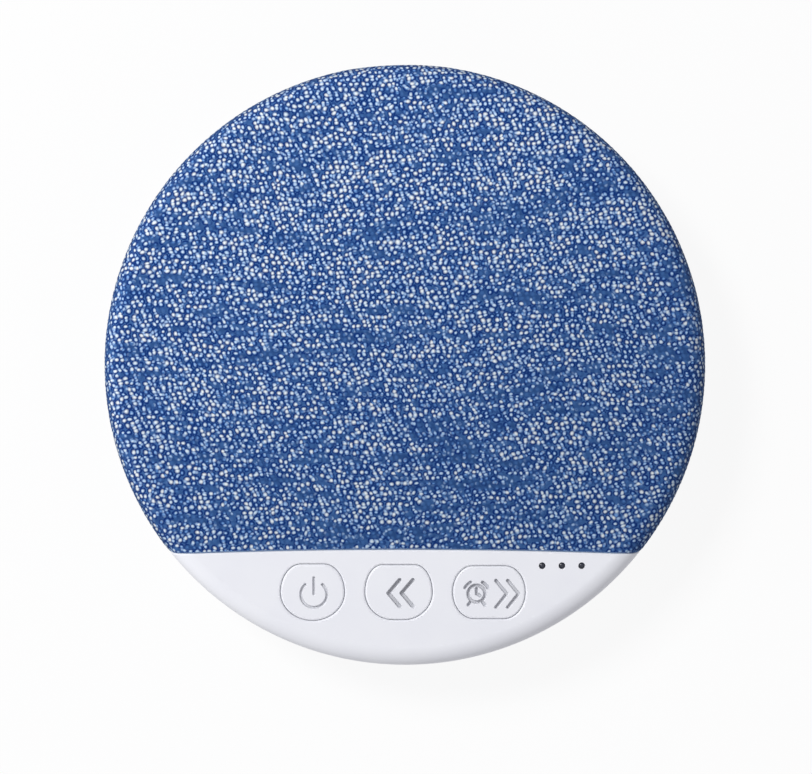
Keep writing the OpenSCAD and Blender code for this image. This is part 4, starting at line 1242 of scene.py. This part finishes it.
@dataclass
class ClothCover:
    """Woven cloth over the grille: one sheet with its relief, turned down along the seam.

    The relief starts at the first number of fade from the outline and is full the second one
    further in. Grid points keep the clearance from the outline, in front and behind.
    """

    skin: CaseSkin = CaseSkin()
    seam: Seam = Seam()
    net: Weave = Weave()
    thickness: float = 0.5
    relief: float = 0.07
    fold: float = 1.3
    gap: float = 0.13
    edge_radius: float = 0.18
    edge_height: float = 5.35
    tuck: float = 0.02
    fade: Pair = (0.05, 0.4)
    clearance: Pair = (0.2, 0.4)
    outline: Array = field(init=False)
    flat_area: float = field(init=False)

    def wavy(self, plan: Array) -> Array:
        """Weave's own place in millimetres: the plan with slow waves, as hand-stretched cloth has.

        Args:
            plan: Points of the rolled-out skin.

        Returns:
            The points, each moved by two sine waves along x and two along y.
        """
        x, y = plan[:, 0], plan[:, 1]
        u = x + 0.35 * np.sin(y / 9 + 0.8) + 0.18 * np.sin(x / 5.3 + y / 7.1)
        v = y + 0.45 * np.sin(x / 11 + 1.9) + 0.2 * np.sin(x / 4.7 - y / 13)
        return np.stack([u, v], axis=1)

    def weave(self, plan: Array) -> Array:
        """Coordinates in which every fleck of the slanting weave has a unit square."""
        u, v = self.wavy(plan).T / np.array([[self.net.across], [self.net.row]])
        return np.stack([u - v * self.net.shift / self.net.across, v], axis=1)

    def height(self, plan: Array) -> Array:
        """Relief of the weave: one cosine along the rows and one across them, highest at the flecks."""
        waves = np.cos(2 * np.pi * (self.weave(plan) - self.net.jitter / 2)).sum(axis=1)
        return self.relief * (2 + waves) / 4

    def raised(self, plan: Array) -> tuple[Array, Array]:
        """Puts plan points on the cloth's face, with its relief.

        The relief dies away to nothing at the outline. The normal is the skin's own, leaned back by
        the slope of the relief.

        Args:
            plan: Points of the rolled-out skin.

        Returns:
            Places and normals.
        """
        fade = np.clip((nearest(plan, self.outline) - self.fade[0]) / self.fade[1], 0, 1)
        points, normals = self.skin.place(plan, -self.height(plan) * fade)
        step = 0.02
        lean = np.zeros_like(points)
        for axis in ((1.0, 0.0), (0.0, 1.0)):
            shift = step * np.array(axis)
            slope = (self.height(plan + shift) - self.height(plan - shift)) / (2 * step) * fade
            lean -= slope[:, None] * self.skin.sideways(plan, np.broadcast_to(axis, plan.shape))
        return points, unit(normals + lean)

    def lattice(self) -> Array:
        """Grid points at the crests, troughs and flanks of the weave.

        Returns:
            Points of the rolled-out skin that keep inside the outline and clear of it.
        """
        steps = np.stack(np.meshgrid(np.arange(-80, 80, 0.25), np.arange(-64, 64, 0.5)), axis=-1)
        steps = steps.reshape(-1, 2) + self.net.jitter / 2
        target = steps @ np.array([[self.net.across, 0], [self.net.shift, self.net.row]])
        points = target
        # Rounds of correction bring the points onto the wavy rows
        for _ in range(3):
            points = points + target - self.wavy(points)
        points = points[inside(points, self.outline)]
        return points[nearest(points, self.outline) > self.clearance[0]]

    def build(self) -> bpy.types.Object:
        """Makes the cloth.

        Returns:
            The closed sheet, with its weave coordinates.
        """
        radius = self.edge_radius
        outline = resampled(self.seam.opening(self.gap, self.edge_height), 0.5)
        side = loop_sides(outline)
        loop = self.outline = outline - radius * side
        ring = np.arange(len(loop))
        points, triangles = triangles_between(np.vstack([loop, self.lattice()]), ring, [])
        builder = MeshBuilder()
        builder.faces.append(builder.add(*self.raised(points), self.weave(points))[triangles])
        # On the flat the edge is tucked in to the fold's depth, which dies away towards the wall
        share = np.clip((self.skin.radius - np.linalg.norm(loop, axis=1)) / self.skin.edge_radius, 0, 1)
        deep = self.thickness + self.tuck + share * (self.fold - self.thickness)
        within = radius - self.thickness
        steps = rounded_steps(radius) + [(radius, deep, QUARTER), (radius, deep, np.pi)]
        steps += [(within, deep, np.pi), (within, deep, 3 * QUARTER)]
        last = add_edge(builder, self.skin, loop, ring, side, steps)
        reach = np.concatenate([np.arange(4, 43, 6.0), np.arange(43, 54, 0.8)])
        grid = polar_grid(np.radians(np.arange(0, 360, 4.0)), reach)
        border = loop + within * side
        grid = grid[inside(grid, border) & (nearest(grid, border) > self.clearance[1])]
        back, faces = triangles_between(np.vstack([border, grid]), ring, [])
        under, normals = self.skin.place(back, self.thickness)
        inner = builder.add(under, -normals, self.weave(back))
        builder.faces.append(inner[faces[:, ::-1]])
        fold_top = builder.add(under[ring], -self.skin.sideways(loop, side))
        builder.faces.append(strip_faces([last, fold_top]))
        self.flat_area = abs(loop_area(outline))
        return builder.build("woven_cloth")


@dataclass
class IndicatorWindows:
    """Dark moulding: three pins that end in the windows, on a bar behind the panel."""

    radius: float = 0.46
    top: float = 14.72
    dome: float = 0.1
    edge: float = 0.12
    bar: Pair = (12.0, 13.2)
    bar_corner: float = 0.3

    def build(self) -> bpy.types.Object:
        """Makes the pins and the bar.

        Each pin is a profile turned about its axis: a shallow dome, a rounded edge and a side. A
        row of the profile holds a radius, a height and the normal's parts outwards and upwards.

        Returns:
            The piece as one mesh.
        """
        low, high = (np.array(corner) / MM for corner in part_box("light_guide"))
        builder = MeshBuilder()
        around = circle_points((0, 0), 1.0)
        flat = self.radius - self.edge
        profile = [
            (flat * share, self.top + self.dome * (1 - share**2), 0.5 * share, 1.0)
            for share in (0.25, 0.5, 0.75, 1.0)
        ]
        for offset, depth, angle in rounded_steps(self.edge, 6):
            profile.append((flat + offset, self.top - depth, np.sin(angle), np.cos(angle)))
        profile.append((self.radius, low[2], 1.0, 0.0))
        for place in WINDOW_PLACES:
            rings = builder.add_rings([
                (around * radius + place, height, lifted(around * out, up))
                for radius, height, out, up in profile
            ])
            builder.add_fan(rings[0], (*place, self.top + self.dome))
            under = builder.add(lifted(around * self.radius + place, low[2]), DOWN)
            builder.faces.append(under[::-1][None])
        self.add_bar(builder, low[:2], high[:2])
        return builder.build("indicator_windows")

    def add_bar(self, builder: MeshBuilder, low: Array, high: Array) -> None:
        """Adds the bar as a rounded rectangle with a flat top and base.

        Args:
            builder: Receives the bar.
            low: Lowest corner of the whole moulding in plan.
            high: Highest corner of the whole moulding in plan.
        """
        half = (high - low) / 2 - self.bar_corner
        way = circle_points((0, 0), 1.0)
        plan = (low + high) / 2 + np.where(way > 0, half, -half) + self.bar_corner * way
        base, top = self.bar
        side = lifted(way, 0.0)
        rows = [(plan, top, UP), (plan, top, side), (plan, base, side), (plan, base, DOWN)]
        rings = builder.add_rings(rows)
        builder.faces += [rings[0][None], rings[3][::-1][None]]


@dataclass(frozen=True)
class Surround:
    """Rubber surround of the driver, in two halves that meet at the crown of its half roll.

    The outer half stays with the basket. The inner half is attached to no body.
    """

    centre: Pair = (0.0, 12.0)
    bottom: float = 11.15
    foot: float = 11.4
    lip_radius: float = 18.9
    lip: float = 1.1
    roll: float = 1.4
    cone_lip: float = 0.6
    thickness: float = 0.3

    @property
    def crown(self) -> Pair:
        """Radius and height of the roll's crown."""
        return self.lip_radius - self.lip - self.roll, self.foot + self.roll

    def arc(self, radius: float, start: float, end: float) -> Array:
        """Points of the roll's section, as radius and height, from one angle to another."""
        return (self.crown[0], self.foot) + radius * rays(np.linspace(start, end, 17))

    def outer_section(self) -> Array:
        """Section of the outer half and its lip.

        Returns:
            Radii and heights, counter-clockwise.
        """
        rim = self.foot + self.thickness / 3
        low = np.arcsin((rim - self.foot) / self.roll)
        side = self.crown[0] + self.roll - self.thickness
        lip = [(side, self.bottom), (self.lip_radius, self.bottom), (self.lip_radius, rim)]
        under = self.arc(self.roll - self.thickness, QUARTER, 0)
        return np.vstack([lip, self.arc(self.roll, low, QUARTER), under])

    def inner_section(self) -> Array:
        """Section of the inner half and its lip on the cone.

        Returns:
            Radii and heights, counter-clockwise.
        """
        low = np.arcsin(self.thickness / self.roll)
        edge = self.crown[0] - self.roll - self.cone_lip
        lip = [(edge, self.foot + self.thickness), (edge, self.foot)]
        under = self.arc(self.roll - self.thickness, np.pi, QUARTER)
        return np.vstack([self.arc(self.roll, QUARTER, np.pi - low), lip, under])

    def build(self, name: str, section: Array) -> bpy.types.Object:
        """Turns a section about the driver's axis.

        A point of the section with radius r and height z goes to centre + r (cos a, sin a), at z.

        Args:
            name: Name of the piece.
            section: Radii and heights, counter-clockwise.

        Returns:
            The piece.
        """
        builder = MeshBuilder()
        around = circle_points((0, 0), 1.0, 144)
        for start, end in zip(section, np.roll(section, -1, axis=0)):
            along = unit(end - start)
            normals = lifted(along[1] * around, -along[0])
            rows = [(self.centre + radius * around, height, normals) for radius, height in (end, start)]
            builder.add_rings(rows)
        return builder.build(name)


# Light, floor and camera


@dataclass
class Studio:
    """Pale floor, soft lamps and a camera straight above the face. Its lengths are metres."""

    camera_height: float = 0.358
    camera_shift: Pair = (0.00017, -0.00341)
    lens: float = 100.0
    sky: float = 0.37
    sky_colour: Triple = (0.945, 0.945, 0.99)
    floor_reach: float = 6.0
    floor_depth: float = 0.00005
    floor_colour: Triple = (0.82, 0.82, 0.83)
    white_reach: Pair = (0.1, 0.5)
    white_share: Pair = (0.9, 1.0)

    def build(self) -> None:
        """Sets the world, the lamps, the floor and the camera."""
        scene = bpy.context.scene
        scene.view_settings.view_transform = "Standard"
        self.set_world(scene)
        # The main lamp is at the upper left, a low one at the lower left, a weak one at the lower right
        self.add_lamp("main_lamp", (-0.4, 0.32, 0.616), 0.22, 4.75)
        self.add_lamp("low_lamp", (-0.64, -0.28, 0.14), 0.25, 1.2)
        self.add_lamp("fill_lamp", (0.45, -0.5, 0.3), 0.3, 0.6)
        self.add_floor()
        data = bpy.data.cameras.new("camera")
        data.lens = self.lens
        data.clip_start = 0.01
        camera = bpy.data.objects.new("camera", data)
        camera.location = (*self.camera_shift, self.camera_height)
        scene.collection.objects.link(camera)
        scene.camera = camera

    def set_world(self, scene: bpy.types.Scene) -> None:
        """Gives the scene an even sky: white where it is seen, weaker and bluish where it lights.

        Args:
            scene: The scene that receives it.
        """
        world = bpy.data.worlds.new("sky")
        world.use_nodes = True
        scene.world = world
        tree = NodeTree(world.node_tree)
        seen_by = tree.add("ShaderNodeLightPath").outputs
        seen = tree.math("MAXIMUM", seen_by["Is Camera Ray"], seen_by["Is Glossy Ray"])
        seen = tree.math("MAXIMUM", seen, seen_by["Is Transmission Ray"])
        tree.feed(world.node_tree.nodes["Background"], {
            "Strength": tree.math("MULTIPLY_ADD", seen, 1 - self.sky, self.sky),
            "Color": tree.mix(seen, (*self.sky_colour, 1.0), (1, 1, 1, 1)),
        })

    def add_lamp(self, name: str, place: Triple, size: float, power: float) -> None:
        """Adds a square lamp that looks at the object.

        Args:
            name: Name of the lamp.
            place: Where it stands.
            size: Length of its sides.
            power: Its power in watts.
        """
        data = bpy.data.lights.new(name, "AREA")
        data.size = size
        data.energy = power
        lamp = bpy.data.objects.new(name, data)
        lamp.location = place
        lamp.rotation_euler = (-Vector(place)).to_track_quat("-Z", "Y").to_euler()
        bpy.context.scene.collection.objects.link(lamp)

    def add_floor(self) -> None:
        """Adds the floor, which the camera sees as nearly white and which keeps a faint shadow.

        It glows with the backdrop's white, wholly so far from the object, and its own colour, which
        the shadow falls on, has the rest. From below it is clear, so that the underside shows.
        """
        builder = MeshBuilder()
        corners = circle_points((0, 0), self.floor_reach / MM, 3)
        builder.faces.append(builder.add(lifted(corners, -self.floor_depth / MM), UP)[None])
        floor = builder.build("floor")
        floor.visible_diffuse = False
        material, tree, shader = new_material("pale_floor")
        tree.feed(shader, {"Base Color": (*self.floor_colour, 1), "Roughness": 0.9})
        glow = tree.add("ShaderNodeEmission", {"Color": (1, 1, 1, 1), "Strength": 1.0}).outputs[0]
        clear = tree.add("ShaderNodeBsdfTransparent").outputs[0]
        away = tree.vector("LENGTH", {0: tree.place()})
        share = tree.smooth(away, *self.white_reach, *self.white_share)
        mixed = tree.add("ShaderNodeMixShader", {0: share, 1: shader.outputs[0], 2: glow}).outputs[0]
        below = tree.add("ShaderNodeNewGeometry").outputs["Backfacing"]
        both = tree.add("ShaderNodeMixShader", {0: below, 1: mixed, 2: clear}).outputs[0]
        out = next(node for node in material.node_tree.nodes if node.type == "OUTPUT_MATERIAL")
        tree.feed(out, {0: both})
        floor.data.materials.append(material)


# The whole scene


def dress(
    piece: bpy.types.Object, material: bpy.types.Material, body: str | None, slot: str, *nodes: str,
) -> None:
    """Gives a new piece its finish, its body and the nodes that it stands for.

    Args:
        piece: The new piece.
        material: Its finish.
        body: CAD body that it rides on, or None for a piece that is attached to no body.
        slot: The record's material slot. It is not used.
        nodes: CAD nodes that it replaces.
    """
    piece.data.materials.append(material)
    if body:
        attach(piece, body)
    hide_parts(*nodes)
    LOG.info("%s: %d faces on %s", piece.name, len(piece.data.polygons), body or "two bodies")


def main() -> None:
    """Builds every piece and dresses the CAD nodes."""
    logging.basicConfig(level=logging.INFO, format="%(name)s: %(message)s")
    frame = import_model()
    Studio().build()
    materials = {finish.name: finish.build() for finish in FINISHES}
    materials["cloth_blue"] = WovenCloth().build()
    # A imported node's own material is named after its slot in the record
    slots = {name: node.material_slots[0].material.name for name, node in frame["nodes"].items()}
    for name, node in frame["nodes"].items():
        for slot in node.material_slots:
            slot.material = materials[slots[name]]
    keys = [
        Key(
            "power_button", "power_key", Sign.POWER,
            x=-14.05, size=(9.7, 8.55), flats=(1.7, 0.0), stroke=0.42, depth=0.42,
        ),
        Key(
            "back_button", "back_key", Sign.BACK,
            x=-0.95, size=(10.2, 8.3), flats=(2.5, 0.8), stroke=0.58, depth=0.65,
        ),
        Key(
            "forward_button", "forward_key", Sign.ALARM_FORWARD,
            x=12.8, size=(11.0, 8.0), flats=(2.45, 2.2), stroke=0.5, depth=0.55,
        ),
    ]
    for key in keys:
        dress(key.build(), materials["key_white"], key.body, "key_white", key.node)
    dress(FrontShell(keys).build(), materials["case_white"], "case", "case_white", "front_shell")
    dress(IndicatorWindows().build(), materials["guide_navy"], "case", "guide_navy", "light_guide")
    rubber = materials["surround_rubber"]
    surround = Surround()
    outer = surround.build("surround_outer", surround.outer_section())
    dress(outer, rubber, "case", "surround_rubber", "speaker_surround")
    inner = surround.build("surround_inner", surround.inner_section())
    dress(inner, rubber, None, "surround_rubber", "speaker_surround")
    heights = surround.foot + surround.thickness, surround.crown[1] - surround.thickness
    start, end = (Vector((*surround.centre, height)) * MM for height in heights)
    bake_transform(inner)
    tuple(start)
    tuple(end)
    cover = ClothCover()
    cloth = cover.build()
    dress(cloth, materials["cloth_blue"], "case", "cloth_blue", "grille_fabric")


if __name__ == "__main__":
    main()
